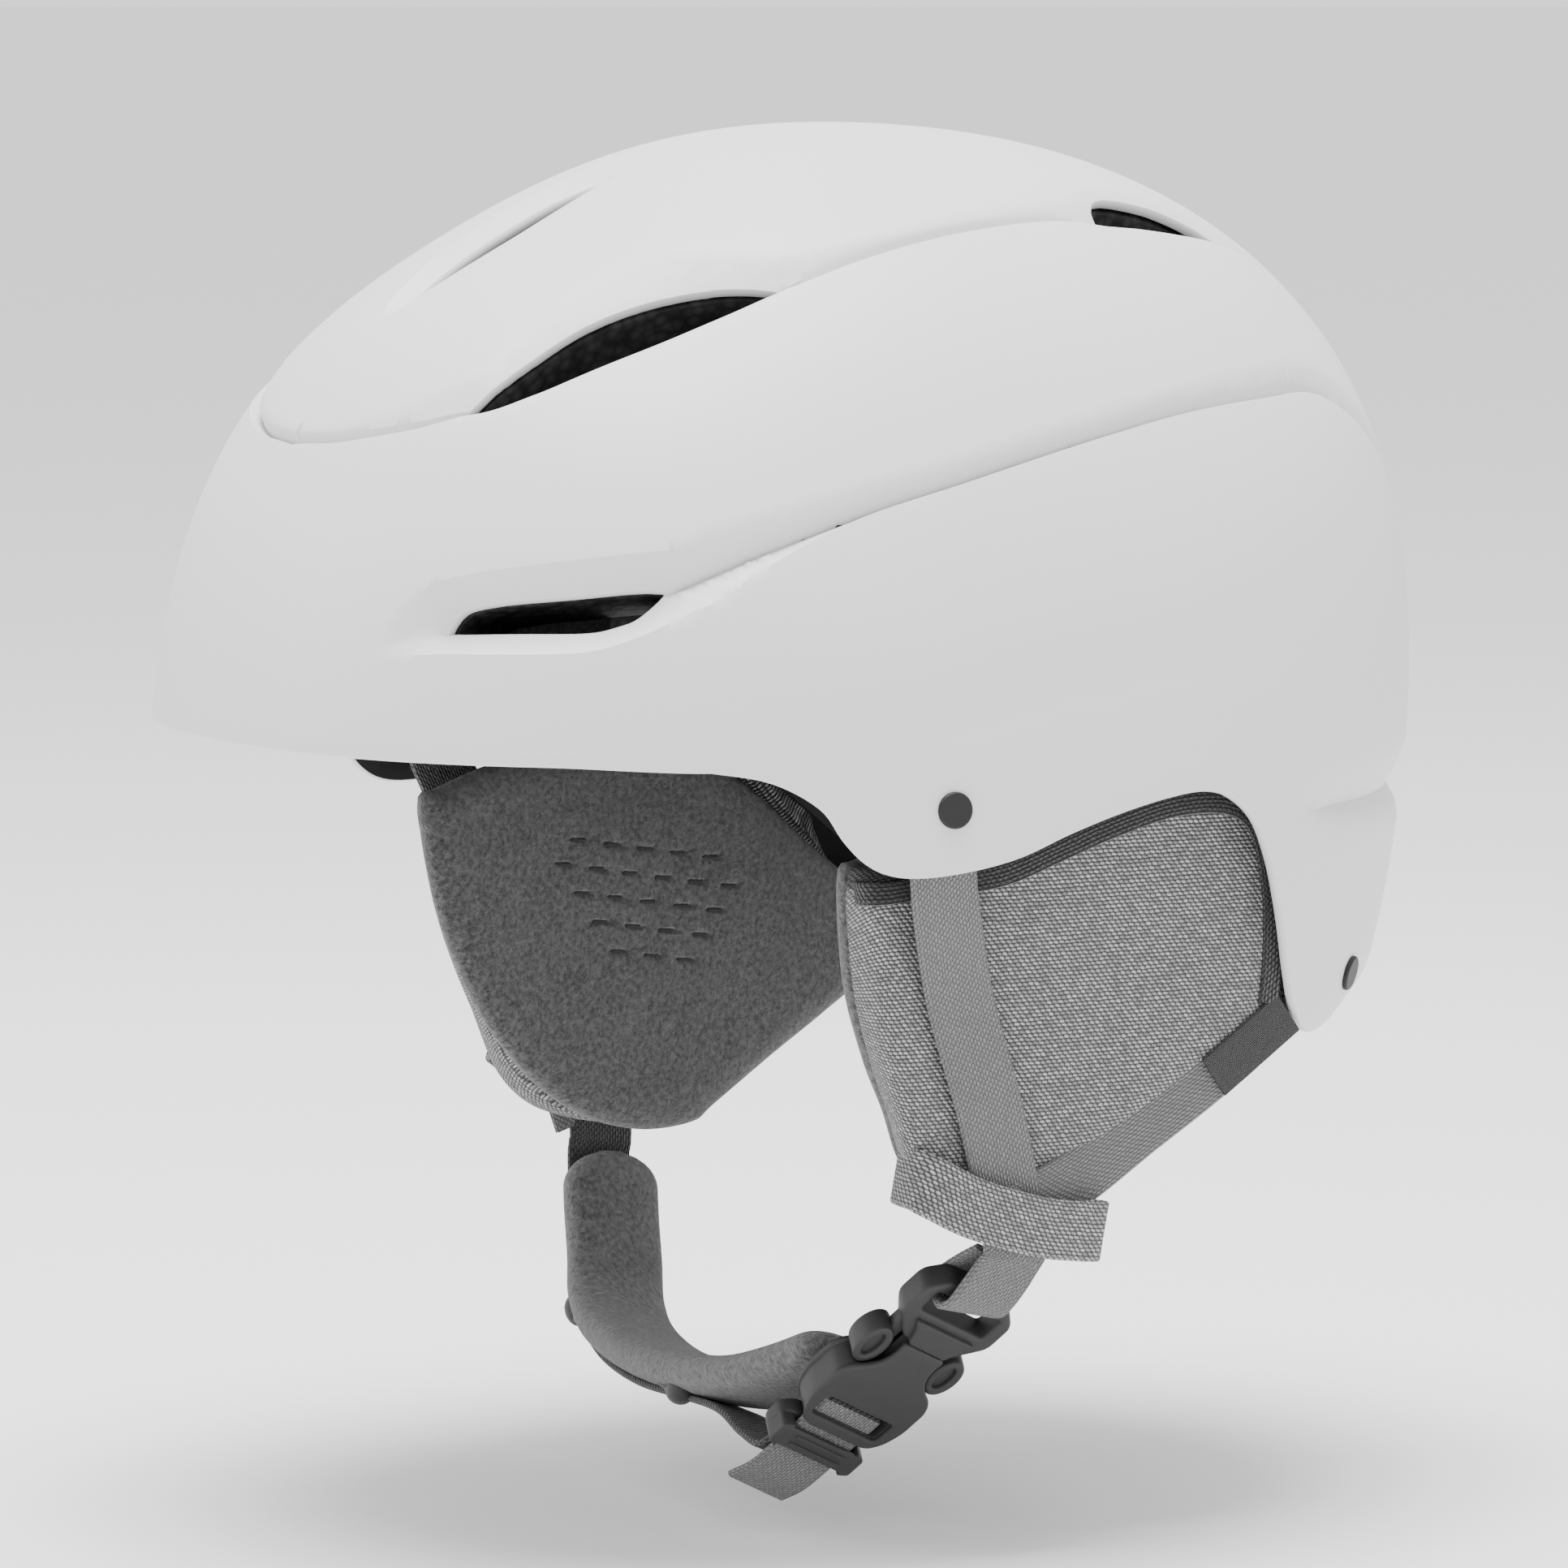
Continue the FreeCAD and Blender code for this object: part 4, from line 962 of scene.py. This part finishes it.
# profiles from the middle of the hidden side, over the edge, to the middle of the face:
# (distance in from the outline, depth under the outer face, share of the fleece's outline)
COVER_PROFILE = [(9, 12.8, 0.9), (2.6, 12.8, 0.9), (0.9, 12.2, 0.85), (0.1, 10.8, 0.75), (-0.3, 8.2, 0.6),
                 (-0.3, 5.2, 0.35), (0.0, 3.0, 0.2), (0.7, 1.5, 0.1), (1.8, 0.6, 0.05), (3.4, 0.2, 0.0),
                 (6, 0.0, 0.0)]
FLEECE_PROFILE = [(9, 11.5, 0.9), (2.6, 12.0, 0.9), (1.0, 12.9, 0.95), (0.1, 14.0, 1.0), (0.3, 15.2, 1.0),
                  (1.4, 16.3, 1.0), (3.2, 17.1, 1.0), (6, 17.7, 1.0)]
# how far the fleece's front edge sits behind its outline, on the wearer's left and right
FRONT_PULL = {1: 9.0, -1: 0.0}
# the dark binding's middle on the outer face, and where it wraps the front edge: (y, z, depth)
BINDING_LINE = [(-31.5, 18.6), (-24, 19.2), (-14, 19.8), (-4, 21.0), (8, 25.0), (20, 29.0), (34, 32.3),
                (47, 32.0), (54.5, 26.5), (58.5, 14), (59.8, 0), (59.5, -9)]
BINDING_WRAP = [(-31.5, 18.0, 12.0), (-33.6, 18.2, 8.0), (-34.6, 18.3, 4.0), (-33.9, 18.5, 1.0)]
# the stitched dashes of the fleece: how many in each row, and how far the row lies under their middle
DASH_ROWS = [(5, -11.2), (6, -5.6), (5, 0.0), (4, 5.6), (3, 11.4)]
DASH_MIDDLE = np.array((9.0, -2.0))
DASH_TILT = 0.17
STITCH_TILT = 0.1
STITCH_PROUD = 0.15
DASH_STEP, DASH_HALF, DASH_WIDTH, DASH_DEEP = 8.0, 1.9, 0.85, 0.9
TAB_ENDS = np.array([(47.2, -23.4), (64.0, -11.2)])


def by_angle(outline, turns):
    """Distance from PAD_MIDDLE to the smooth closed outline, at each turn."""
    line = smooth_line([(y, z, 0) for y, z in outline], 0.8, True)[:, :2] - PAD_MIDDLE
    angle = np.arctan2(line[:, 1], line[:, 0])
    order = np.argsort(angle)
    return np.interp(turns, angle[order], np.hypot(line[order, 0], line[order, 1]), period=2 * math.pi)


def on_pad(yz, depth):
    """Place on the left ear pad, at y and z and a depth under its leaning outer face."""
    yz = np.atleast_2d(yz)
    x = PAD_FACE_X - depth + PAD_LEAN * (yz[:, 1] - CENTRE[2])
    return np.stack([x, yz[:, 0], yz[:, 1]], axis=1)


def dash_places():
    """Middles of the short dashes, y and z, row by row."""
    for count, down in DASH_ROWS:
        for k in range(count):
            y = DASH_MIDDLE[0] + (k - (count - 1) / 2) * DASH_STEP
            yield y, DASH_MIDDLE[1] - down - DASH_TILT * (y - DASH_MIDDLE[0])


def dashes(yz):
    """Depth of the short dashes pressed into the fleece."""
    deep = np.zeros(len(yz))
    for y, z in dash_places():
        away_y = np.maximum(0.0, np.abs(yz[:, 0] - y) - DASH_HALF)
        away = np.hypot(away_y, yz[:, 1] - z + STITCH_TILT * (yz[:, 0] - y))
        deep = np.maximum(deep, DASH_DEEP * (1 - smoothstep(away / DASH_WIDTH)))
    return deep


def make_stitch_shade(name, fleece_pad, material, side):
    """One dark stitch in the bottom of each dash of the fleece: part stitching, part painted shade that
    darkens the dash.
    """
    surface = np.empty(len(fleece_pad.data.vertices) * 3)
    fleece_pad.data.vertices.foreach_get("co", surface)
    surface = surface.reshape(-1, 3) / MM * (side, 1, 1)
    parts = []
    for y, z in dash_places():
        rows = []
        for along in np.linspace(-DASH_HALF, DASH_HALF, 4):
            at = np.array((y + along, z - STITCH_TILT * along))
            near = np.argmin(np.hypot(surface[:, 1] - at[0], surface[:, 2] - at[1]))
            rows.append((surface[near, 0] - STITCH_PROUD, *at, 0.0, 0.0, 1.0))
        parts.append(sweep(rows, oval_section(1.0, 0.7, 2.0, 10), 0.5, 0.5)[:2])
    verts, faces = joined(*parts)
    return make_sided(name, verts, faces, material, 60.0, side < 0)


def darken_top(obj, material):
    """Gives the cover's faces above the binding line the binding's dark finish."""
    obj.data.materials.append(material)
    line = np.array(BINDING_LINE[:8])
    for face in obj.data.polygons:
        _, y, z = np.array(face.center) / MM
        if z > np.interp(y, line[:, 0], line[:, 1]):
            face.material_index = 1


def make_pad_body(name, profile, ring_step, crown, relief, material, side):
    """One soft layer of an ear pad, as rings from its hidden side to the middle of its face."""
    count = 300
    turns = np.linspace(-math.pi, math.pi, count, endpoint=False)
    heading = np.stack([np.cos(turns), np.sin(turns)], axis=1)
    pulled = [(y + FRONT_PULL[side] * smoothstep((-8 - y) / 25), z) for y, z in FLEECE_OUTLINE]
    face, back = by_angle(FACE_OUTLINE, turns), by_angle(pulled, turns)
    inner = min(face.min(), back.min()) * 0.98
    rows = [(a, b, c, 0.0) for a, b, c in profile]
    a, b, c = profile[-1]
    rows += [(a + t * inner, b, c, t) for t in np.linspace(0, 0.98, int(inner / ring_step))[1:]]
    verts, uv_rows = [], []
    for inset, depth, mix, t in rows:
        radius = face * (1 - mix) + back * mix
        radius = (radius - a) * (1 - t) if t else radius - inset
        yz = PAD_MIDDLE + heading * radius[:, None]
        lift = crown * (1 - (1 - t) ** 2)
        wrinkle = np.array([noise.noise(Vector((y / 19, z / 19, side * 3.1))) for y, z in yz]) * 0.35
        deep = depth - wrinkle * min(1.0, t * 4)
        deep = deep + lift - (dashes(yz) if relief else 0.0)
        verts.append(on_pad(yz, deep))
        unfold = radius if t else radius + max(0.0, depth if crown <= 0 else b - depth)
        uv_rows.append(PAD_MIDDLE + heading * unfold[:, None])
    rings = len(rows)
    verts = np.vstack(verts)
    uv_rows = np.vstack(uv_rows)
    faces = []
    for i in range(rings - 1):
        for k in range(count):
            m = (k + 1) % count
            faces.append((i * count + k, i * count + m, (i + 1) * count + m, (i + 1) * count + k))
    faces.append(tuple(range(count))[::-1])
    faces.append(tuple((rings - 1) * count + k for k in range(count)))
    if crown > 0:
        faces = [f[::-1] for f in faces]
    uv = [uv_rows[k] for f in faces for k in f]
    return make_sided(name, verts, faces, material, 60.0, side < 0, uv)


def make_binding(name, material, side):
    """The dark band sewn along the top and the rear of the pad's outer face."""
    line = smooth_line([(y, z, 0) for y, z in BINDING_LINE], 3.0)[:, :2]
    along = unit(np.gradient(line, axis=0))
    place = on_pad(line, -0.15)
    rows = [(*on_pad((y, z), depth)[0], 0.0, 0.0, 1.0) for y, z, depth in BINDING_WRAP]
    rows += [(*q, 0.0, -t[1], t[0]) for q, t in zip(place, along)]
    return strap(name, rows, 4.6, 1.2, material, side < 0)


def make_ear_pads():
    for side, word, body in ((1, "left", "helmet"), (-1, "right", "right_flap")):
        cover = make_pad_body("ear_pad_cover_" + word, COVER_PROFILE, 1.6, 0.0, False,
                              finish["ear_textile"], side)
        finished(cover, body, "ear_textile", "ear_pad_cover_" + word, "ear_pad_stiffener_" + word,
                 "ear_pad_foam_" + word)
        darken_top(cover, finish["piping"])
        soft = make_pad_body("ear_pad_fleece_" + word, FLEECE_PROFILE, 0.55, 1.2, True,
                             finish["fleece"], side)
        finished(soft, body, "fleece", "ear_pad_fleece_" + word)
        # dark stitches in the fleece's dashes: part stitching, part painted shade of the dashes
        stitch_shade = make_stitch_shade("ear_pad_stitch_shade_" + word, soft, finish["elastic"], side)
        finished(stitch_shade, body, "elastic")
        binding = make_binding("ear_pad_piping_" + word, finish["piping"], side)
        finished(binding, body, "piping", "ear_pad_piping_" + word)
        places = [TAB_ENDS[0] * (1 - t) + TAB_ENDS[1] * t for t in np.linspace(0, 1, 5)]
        rows = [(*on_pad(place, -0.8)[0], 0.0, 0.6, -0.8) for place in places]
        tab = strap("ear_pad_tab_" + word, rows, 9.5, 0.7, finish["tab_black"], side < 0)
        finished(tab, body, "tab_black", "ear_pad_tab_" + word)


# ---------------------------------------------------------------- side straps and their keepers
WEBBING_WIDTH, WEBBING = 15.0, 1.5
FRONT_STRAP = [(102.4, -27.6, 42), (101.8, -25.4, 30), (99.2, -23.2, 22), (96.6, -20.8, 14),
               (91.4, -14.4, -4), (89.2, -6.8, -24), (87.4, -2.2, -38), (85.9, 1.5, -50.2)]
REAR_STRAP = [(71.2, 87.2, -5), (74.8, 81.4, -6), (80.4, 71.2, -8.6), (84.8, 64.4, -11),
              (86.6, 57.2, -15.6), (86.3, 46, -23.0), (85.2, 32, -32), (85.0, 17, -41.4),
              (86.4, 6, -45.6), (87.2, 0.5, -47.4)]
# the keeper's band: (y, depth under the pad's outer face)
KEEPER_PATH = [(-12, 11.5), (-18, 10.0), (-21.0, 6.5), (-22.0, 2.0), (-21.4, -1.6), (-18, -4.2), (-10, -5.6),
               (4, -6.3), (14, -6.2), (19.8, -5.4), (21.0, -3.6), (19.6, -1.6), (14, -0.9), (4, -0.5)]
# height of the band along the pad's outer face: (y, z); round the front edge it stays level
KEEPER_DROP = [(-22, -38.6), (-14, -43.4), (-4, -47.6), (8, -50.6), (21, -52.2)]
# the right flap's loop sits a little further back and higher
KEEPER_SHIFT = {1: (0.0, 0.0), -1: (2.0, 9.0)}


def make_side_straps():
    for side, word in ((1, "left"), (-1, "right")):
        front = strap("front_strap_" + word, [(*p, 0, 1, 0) for p in FRONT_STRAP], WEBBING_WIDTH - 0.4,
                      WEBBING, finish["webbing"], side < 0)
        rear = strap("rear_strap_" + word, [(*p, 0, 0, 1) for p in REAR_STRAP], 12.5, WEBBING,
                     finish["webbing"], side < 0)
        body = "helmet" if side > 0 else None
        finished(front, body, "webbing", "front_strap_" + word, "strap_ends_" + word)
        finished(rear, body, "webbing", "rear_strap_" + word)
        if side < 0:
            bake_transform(front)
            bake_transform(rear)
        rows = []
        back, up = KEEPER_SHIFT[side]
        for y, depth in KEEPER_PATH:
            drop_y = y if depth < 2.0 else KEEPER_DROP[0][0]
            z = np.interp(drop_y, *np.transpose(KEEPER_DROP))
            rows.append((*on_pad((y + back, z + up), depth)[0], 0.0, 0.2, 0.98))
        keeper = strap("strap_keeper_" + word, rows, 12.0, 1.2, finish["ear_textile"], side < 0)
        finished(keeper, "helmet" if side > 0 else "right_flap", "ear_textile", "strap_keeper_" + word)


# ---------------------------------------------------------------- chin strap, its pad and the buckle
KEEPER = np.array((86.0, 4.0, -54.0))
AXIS = unit((-0.66, -0.36, -0.66))
WIDE = unit((-0.04, 0.894, -0.447))
OUT = np.cross(AXIS, WIDE)
CHIN_PAD_LINE = [(-79.8, 4.4, -56.2), (-77, 3, -67), (-72, 1, -78), (-65, -2.5, -86), (-53, -6, -91),
                 (-30, -11, -93), (-5, -14, -92.5), (16, -15.5, -90), (34, -14, -85), (48, -11, -79.5)]
STRAP_UNDER_PAD = 5.3
KNOT_HALF = 4.2


def on_buckle(along, wide, out):
    return KEEPER + AXIS * along + WIDE * wide + OUT * out


def on_buckle_frame(mesh):
    verts, faces = mesh
    return KEEPER + verts @ np.stack([AXIS, WIDE, OUT]), faces


def turning(places, last=WIDE):
    """Rows for a sweep whose wide direction turns evenly from +Y to the last one."""
    shares = np.linspace(0, 1, len(places))
    return [(*p, *(Y * (1 - t) + last * t)) for p, t in zip(places, shares)]


def under_pad(distance):
    line = np.array(CHIN_PAD_LINE, float)
    along = unit(np.gradient(line, axis=0))
    return line + unit(np.cross(-Y, along)) * -distance


def make_chin_strap():
    left_line = [(85.9, 2, -51.2), (84.9, 2.5, -55.5), on_buckle(6, 0, 1.4), on_buckle(12.2, 0, 3.5),
                 on_buckle(15.6, 0, 4.05), on_buckle(17.9, 0, 3.0), on_buckle(18.7, 0, 0.0),
                 on_buckle(17.9, 0, -3.0), on_buckle(15.6, 0, -4.05), on_buckle(11, 0, -3.0),
                 on_buckle(6, 0, -1.2)]
    left = strap("chin_strap_left", turning(left_line), WEBBING_WIDTH, WEBBING, finish["webbing"], step=1.0)
    finished(left, "helmet", "webbing", "chin_strap_left")
    under = under_pad(STRAP_UNDER_PAD)[:7]
    right_line = [(-85.9, 5.5, -50.2), (-85.4, 5.2, -54.6), *under, (14, -17.5, -97.5), (28, -20.3, -100.2),
                  on_buckle(72.0, 0, -1.2), on_buckle(64.5, 0, -1.2)]
    # the right chin strap takes the webbing with painted shade, darker than the same webbing elsewhere
    right = strap("chin_strap_right", turning(right_line), WEBBING_WIDTH, WEBBING, finish["webbing_painted_shade"])
    finished(right, "right_flap", "webbing", "chin_strap_right")
    verts, faces, _ = sweep(turning(CHIN_PAD_LINE), oval_section(22.0, 9.0), 1.2, 8.0)
    pad = make_object("chin_pad", verts, faces, finish["fleece"], 60.0)
    finished(pad, "right_flap", "fleece", "chin_pad")
    tail_line = [on_buckle(52.6, 0, 2.0), on_buckle(60, 0, 2.0), on_buckle(70, 0, 2.0), on_buckle(76, 0, 1.6),
                 on_buckle(82, 0, -0.4)]
    tail = strap("strap_tail", [(*p, *WIDE) for p in tail_line], WEBBING_WIDTH, WEBBING, finish["webbing"])
    finished(tail, "strap_tail", "webbing", "strap_tail")
    make_elastics(np.array(turning(right_line)))


def make_elastics(rows):
    """Two textile knots on the chin strap, and the dark elastic between them."""
    parts = []
    line = []
    for k in (5, 8):
        p = rows[k, :3]
        along = unit(rows[k + 1, :3] - rows[k - 1, :3])
        wide = unit(rows[k, 3:] - along * (rows[k, 3:] @ along))
        away = unit(np.cross(along, wide))
        knot = p - wide * (WEBBING_WIDTH / 2 + 0.6) + away * 0.6
        rows_of_knot = [(*(knot + along * s * KNOT_HALF), *wide) for s in (-1, 0, 1)]
        parts.append(sweep(rows_of_knot, oval_section(5.4, 5.4, 2.0, 18), 0.6, KNOT_HALF)[:2])
        line += [knot - wide * 1.0 - along * 3, knot - wide * 1.0 + along * 3]
    parts.append(sweep([(*p, *X) for p in line], oval_section(1.5, 1.5, 2.0, 10), 1.2)[:2])
    obj = make_object("chin_pad_elastics", *joined(*parts), finish["elastic"])
    finished(obj, "right_flap", "elastic", "chin_pad_elastics")


def make_buckle():
    plastic = finish["buckle_plastic"]
    frame_outline = symmetric([(13.6, 7.6), (17.4, 11.4), (24.6, 11.4), (28.2, 8.4), (30.6, 6.2)])
    frame_outline = rounded(frame_outline, 1.6)
    strap_slot = rounded([(17.2, -8.2), (22.8, -8.2), (22.8, 8.2), (17.2, 8.2)], 0.8)
    frame_part = slab(frame_outline, [strap_slot], -3.2, 3.2, 0.9)
    bridge = slab(rounded(symmetric([(24.6, 7.6), (27.4, 5.8), (30.8, 4.8)]), 0.8), [], -4.5, 4.5, 0.6)
    tongue = slab(rounded([(29.0, -3.2), (45.0, -3.2), (45.0, 3.2), (29.0, 3.2)], 0.8), [], -1.3, 1.3, 0.3)
    insert = make_object("buckle_insert", *on_buckle_frame(joined(frame_part, bridge, tongue)), plastic)
    finished(insert, "helmet", "buckle_plastic", "buckle_insert")

    plate = symmetric([(30.9, 5.4), (34.0, 4.9), (37.4, 5.6), (39.9, 7.8), (41.6, 10.6), (44.4, 11.9),
                       (51.5, 11.9), (56.0, 10.6), (59.0, 8.2)])
    plate = rounded(plate, 1.8)
    window = rounded([(50.5, -8.6), (56.2, -8.6), (56.2, 8.6), (50.5, 8.6)], 1.2)
    walls = rounded(symmetric([(41.2, 9.9), (44.4, 11.5), (51.5, 11.5), (56.0, 10.2), (58.6, 8.0)]), 1.4)
    cavity = rounded([(41.6, -8.8), (48.6, -9.6), (48.6, 9.6), (41.6, 8.8)], 0.6)
    layers = [slab(plate, [window], 2.9, 4.6, 0.75), slab(plate, [window], -4.6, -2.9, 0.75),
              slab(walls, [cavity, window], -3.2, 3.2, 0.2)]
    socket = make_object("buckle_socket", *on_buckle_frame(joined(*layers)), plastic)
    finished(socket, "right_flap", "buckle_plastic", "buckle_socket")

    for word, s in (("front", -1), ("rear", 1)):
        stem = slab(rounded([(27.0, s * 6.2), (40.0, s * 6.2), (40.0, s * 8.8), (27.0, s * 8.8)], 0.8), [],
                    -1.5, 1.5, 0.3)
        barb = slab(rounded([(38.5, s * 6.2), (45.4, s * 6.2), (41.4, s * 9.2), (38.5, s * 9.2)], 0.8), [],
                    -1.5, 1.5, 0.15)
        rim = slab(oval((35.7, s * 9.5), (5.2, 3.2)), [oval((35.7, s * 9.5), (3.3, 1.4), 24)], -3.0, 3.0, 0.6)
        floor = slab(oval((35.7, s * 9.5), (3.6, 1.7), 24), [], -2.2, 1.9, 0.2)
        arm = make_object("release_arm_" + word, *on_buckle_frame(joined(stem, barb, rim, floor)), plastic)
        finished(arm, "release_arm_" + word, "buckle_plastic", "release_arm_" + word)

    body = rounded(symmetric([(59.8, 8.0), (61.8, 10.7), (66.4, 10.7), (69.6, 7.4)]), 1.4)
    low_part = slab(body, [], -3.4, 0.7, 0.9)
    bar = slab(rounded([(61.4, -10.2), (66.8, -10.2), (66.8, 10.2), (61.4, 10.2)], 1.6), [], 3.1, 4.4, 0.5)
    cheeks = [slab(rounded([(60.6, s * 8.2), (68.0, s * 8.2), (66.8, s * 10.6), (61.8, s * 10.6)], 0.8), [],
                   -1.0, 4.2, 0.4) for s in (1, -1)]
    ribs = [slab(rounded([(a, -6.5), (a + 0.9, -6.5), (a + 0.9, 6.5), (a, 6.5)], 0.4), [], 4.1, 4.8, 0.25)
            for a in (62.6, 64.8)]
    adjuster = make_object("strap_adjuster", *on_buckle_frame(joined(low_part, bar, *cheeks, *ribs)), plastic)
    finished(adjuster, "right_flap", "buckle_plastic", "strap_adjuster")


# ---------------------------------------------------------------- comfort pads
def lining_pad(name, place, back, front, columns=60, rows=30):
    """A pad on the liner's inner face. place gives a guide point for u and v from -1 to 1."""
    u, v = np.meshgrid(np.linspace(-1, 1, columns), np.linspace(-1, 1, rows), indexing="ij")
    guide = np.stack(place(u.ravel(), v.ravel()), axis=1)
    on = on_surface(guide)
    n = outward(on)
    full = ((1 - np.abs(u) ** 8) * (1 - np.abs(v) ** 6)).ravel() ** 0.5
    crown = front + 0.8 * (1 - (v.ravel() ** 2 + u.ravel() ** 2) / 2)
    top = on - n * (back + (crown - back) * full)[:, None]
    bottom = on - n * back
    index = np.arange(columns * rows).reshape(columns, rows)
    a, b = index[:-1, :-1].ravel(), index[1:, :-1].ravel()
    c, d = index[1:, 1:].ravel(), index[:-1, 1:].ravel()
    total = columns * rows
    faces = list(zip(a, d, c, b)) + list(zip(a + total, b + total, c + total, d + total))
    faces = [tuple(int(k) for k in f) for f in faces]
    obj = make_object(name, np.vstack([top, bottom]), faces, finish["liner_fabric"], 60.0)
    body = bmesh.new()
    body.from_mesh(obj.data)
    bmesh.ops.remove_doubles(body, verts=body.verts, dist=1e-6)
    bmesh.ops.recalc_face_normals(body, faces=body.faces)
    body.to_mesh(obj.data)
    body.free()
    shade(obj.data, 60.0)
    finished(obj, "helmet", "liner_fabric", name)


def make_comfort_pads():
    back, front = LINER_DEPTH + 0.3, PAD_DEPTH
    lining_pad("brow_pad", lambda u, v: (100 * np.sin(0.72 * u), -100 * np.cos(0.72 * u), 64.5 + 11.5 * v),
               back, front)
    lining_pad("crown_pad", lambda u, v: (17 * v, 12 + 50 * u, 126 + 0 * u), back, front)
    for word, x in (("left", 84), ("right", -84)):
        lining_pad("side_pad_" + word, lambda u, v: (x + 0 * u, 10 + 36 * u, 78 + 12 * v), back, front)
    lining_pad("nape_pad", lambda u, v: (100 * np.sin(0.39 * u), 100 * np.cos(0.39 * u), 53 + 13 * v),
               back, front)
    outline = rounded([(-29, -30), (29, -30), (29, 3), (-29, 3)], 8, 8)
    verts, faces = slab(outline, [], 82.0, 87.4, 2.6)
    turned = np.stack([verts[:, 0], verts[:, 2], verts[:, 1]], axis=1)
    pad = make_object("cradle_pad", turned, [f[::-1] for f in faces], finish["liner_fabric"], 60.0)
    finished(pad, "cradle", "liner_fabric", "cradle_pad")


def paint_cad_nodes():
    """Better finishes for the CAD parts whose shapes are right as they are."""
    finishes = {"strap_rivets": "rivet_grey", "rivet_washers": "steel", "ear_pad_clips": "black_plastic",
                "cradle_bracket": "black_plastic", "temple_anchors": "black_plastic",
                "cradle_housing": "black_plastic", "cradle_plate": "black_plastic",
                "fit_dial": "black_plastic", "dial_pinion": "black_plastic", "dial_screw": "steel",
                "fit_belt_left": "black_plastic", "fit_belt_right": "black_plastic",
                "retainer_base": "retainer_white", "retainer_stud": "retainer_white",
                "goggle_retainer": "retainer_white", "retainer_pin": "steel"}
    for name, finish_name in finishes.items():
        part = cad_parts[name]
        part.data.materials.clear()
        part.data.materials.append(finish[finish_name])


finish = palette()
make_shell(finish["shell_white"], finish["shell_inside"])
make_liner(finish["foam_black"])
make_ear_pads()
make_side_straps()
make_chin_strap()
make_buckle()
make_comfort_pads()
paint_cad_nodes()


# ---------------------------------------------------------------- stage
def make_stage():
    floor_mesh = bpy.data.meshes.new("floor")
    half, low = 40.0, -0.118
    floor_mesh.from_pydata([(-half, -half, low), (half, -half, low), (half, half, low), (-half, half, low)],
                           [], [(0, 1, 2, 3)])
    floor = bpy.data.objects.new("floor", floor_mesh)
    bpy.context.scene.collection.objects.link(floor)
    floor_mesh.materials.append(new_material("floor_white", (0.9, 0.9, 0.9), 0.9, specular=0.1))


def area_light(name, place, target, size, power):
    data = bpy.data.lights.new(name, "AREA")
    data.shape = "DISK"
    data.size = size
    data.energy = power
    light = bpy.data.objects.new(name, data)
    light.location = place
    light.rotation_euler = (Vector(target) - Vector(place)).to_track_quat("-Z", "Y").to_euler()
    bpy.context.scene.collection.objects.link(light)


def make_lights():
    world = bpy.data.worlds.new("studio")
    world.use_nodes = True
    world.node_tree.nodes["Background"].inputs["Color"].default_value = (1, 1, 1, 1)
    world.node_tree.nodes["Background"].inputs["Strength"].default_value = 1.4
    bpy.context.scene.world = world
    area_light("overhead", (0.1, -0.1, 1.5), (0, 0, 0), 1.0, 55)
    area_light("fill", (-1.2, -1.6, 0.7), (0, 0, 0.05), 0.8, 8)


def make_camera():
    azimuth, elevation, distance = math.radians(59.2), math.radians(6.0), 1.8
    target = Vector((0, 0, 0.030))
    back = Vector((math.sin(azimuth) * math.cos(elevation), -math.cos(azimuth) * math.cos(elevation),
                   math.sin(elevation)))
    data = bpy.data.cameras.new("camera")
    data.lens = 202.25
    data.sensor_width = 36.0
    data.clip_end = 20.0
    camera = bpy.data.objects.new("camera", data)
    camera.location = target + back * distance
    camera.rotation_euler = (-back).to_track_quat("-Z", "Y").to_euler()
    bpy.context.scene.collection.objects.link(camera)
    bpy.context.scene.camera = camera


make_stage()
make_lights()
make_camera()
